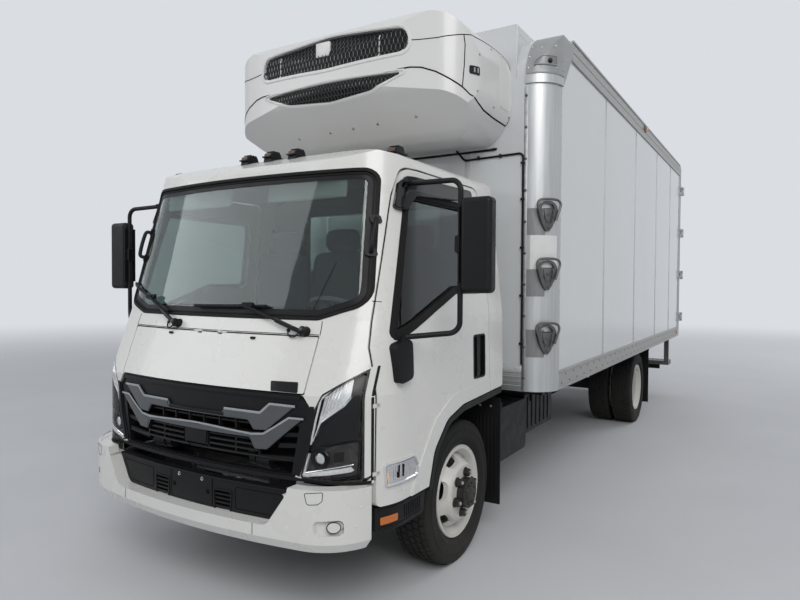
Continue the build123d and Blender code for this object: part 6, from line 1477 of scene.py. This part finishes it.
def add_pipes():
    hoses, = pieces("chassis", 50, chassis_hoses="rubber")
    pipe, = pieces("chassis", 40, exhaust_pipe="brake")
    for piece, rows, radius, sides in (*((hoses, rows, 0.011, 8) for rows in HOSES), (pipe, FRONT_PIPE, 0.038, 14),
                                       (pipe, REAR_PIPE, 0.036, 12)):
        tube(piece, smooth_path([(x, FRONT_AXLE + y, z) for x, y, z in rows], 6), radius, sides)
    turned(pipe, SILENCER, (-0.28, FRONT_AXLE + 0.80, 0.53), (0, 1, 0), 32)
    close()


add_frame_bolts()
add_tanks()
add_pipes()


# Camera, floor, light

FOCAL_PIXELS, IMAGE_WIDTH = 627.6845, 800.0


def placed(name, data):
    thing = bpy.data.objects.new(name, data)
    bpy.context.scene.collection.objects.link(thing)
    return thing


def add_camera():
    yaw, pitch, roll = 0.5494, -0.0247, 0.0058
    ahead = Vector((-math.sin(yaw) * math.cos(pitch), math.cos(yaw) * math.cos(pitch), math.sin(pitch)))
    right = Vector((math.cos(yaw), math.sin(yaw), 0))
    up = right.cross(ahead)
    across = right * math.cos(roll) + up * math.sin(roll)
    above = up * math.cos(roll) - right * math.sin(roll)
    data = bpy.data.cameras.new("view_camera")
    data.sensor_fit = "HORIZONTAL"
    data.sensor_width = 36.0
    data.lens = FOCAL_PIXELS * data.sensor_width / IMAGE_WIDTH
    data.clip_start, data.clip_end = 0.05, 400.0
    camera = placed("view_camera", data)
    turn = Matrix((across, above, -ahead)).transposed().to_4x4()
    camera.matrix_world = Matrix.Translation((2.5117, FRONT_AXLE - 3.2393, 1.5897)) @ turn
    bpy.context.scene.camera = camera


def seen_rays(nt):
    """1 for the rays that show the background: to the camera, and by way of metal or glass."""
    rays = node(nt, "LightPath")
    last = rays.outputs["Is Camera Ray"]
    for name in ("Is Glossy Ray", "Is Transmission Ray"):
        last = node(nt, "Math", links={0: last, 1: rays.outputs[name]}, operation="MAXIMUM").outputs["Value"]
    return last


def mixed(nt, share, first, second, end):
    mix = node(nt, "MixShader", links={"Fac": share, 1: first, 2: second})
    nt.links.new(mix.outputs["Shader"], nt.nodes[end].inputs["Surface"])


def add_floor():
    size, steps = 60.0, 24
    mesh = bpy.data.meshes.new("floor")
    places = [-size + 2 * size * i / steps for i in range(steps + 1)]
    faces = [(j * (steps + 1) + i, j * (steps + 1) + i + 1, (j + 1) * (steps + 1) + i + 1, (j + 1) * (steps + 1) + i)
             for j in range(steps) for i in range(steps)]
    mesh.from_pydata([(x, y, 0) for y in places for x in places], [], faces)
    floor = placed("floor", mesh)
    finish = material("floor_pale", (0.60, 0.61, 0.63), 0.85, vary=0.03, scale=0.8, grain=0.05, grain_scale=60,
                      specular=0.2)
    floor.data.materials.append(finish)
    # Far from the truck the floor takes the backdrop's colour
    nt = finish.node_tree
    where = node(nt, "TexCoord").outputs["Object"]
    reach = node(nt, "VectorMath", links={0: where}, operation="LENGTH")
    fade = node(nt, "MapRange", {"From Min": 6.0, "From Max": 24.0}, {"Value": reach.outputs["Value"]},
                interpolation_type="SMOOTHSTEP")
    both = node(nt, "Math", links={0: fade.outputs["Result"], 1: seen_rays(nt)}, operation="MULTIPLY")
    glow = node(nt, "Emission", {"Color": BACKDROP})
    mixed(nt, both.outputs["Value"], nt.nodes["Principled BSDF"].outputs["BSDF"], glow.outputs["Emission"],
          "Material Output")


def area_light(name, place, target, size, power, colour=(1, 1, 1)):
    data = bpy.data.lights.new(name, "AREA")
    data.shape = "RECTANGLE"
    data.size, data.size_y = size
    data.energy = power
    data.color = colour
    lamp = placed(name, data)
    lamp.location = place
    lamp.rotation_euler = (Vector(target) - Vector(place)).to_track_quat("-Z", "Y").to_euler()
    return lamp


def add_light():
    world = bpy.data.worlds.new("studio")
    bpy.context.scene.world = world
    world.use_nodes = True
    nt = world.node_tree
    back = nt.nodes["Background"]
    split = node(nt, "SeparateXYZ", links={"Vector": node(nt, "TexCoord").outputs["Generated"]})
    ramp = node(nt, "ValToRGB", links={"Fac": split.outputs["Z"]})
    for stop, position, colour in zip(ramp.color_ramp.elements, (0.42, 0.62), (
            (0.34, 0.34, 0.33, 1), (0.80, 0.83, 0.88, 1))):
        stop.position, stop.color = position, colour
    nt.links.new(ramp.outputs["Color"], back.inputs["Color"])
    back.inputs["Strength"].default_value = 0.62
    plain = node(nt, "Background", {"Color": BACKDROP, "Strength": 1.0})
    mixed(nt, seen_rays(nt), back.outputs["Background"], plain.outputs["Background"], "World Output")
    area_light("key", (7.5, -11.0, 9.0), (0, -1.0, 1.5), (7, 7), 820, (1.0, 0.99, 0.97))
    area_light("fill", (-8.0, -10.0, 6.0), (0, -2.0, 1.2), (8, 6), 240, (0.96, 0.98, 1.0))
    area_light("back", (6.0, 11.0, 8.0), (0, 2.0, 1.8), (7, 6), 380).visible_glossy = False


add_camera()
add_floor()
add_light()
bpy.context.scene.view_settings.view_transform = "Standard"
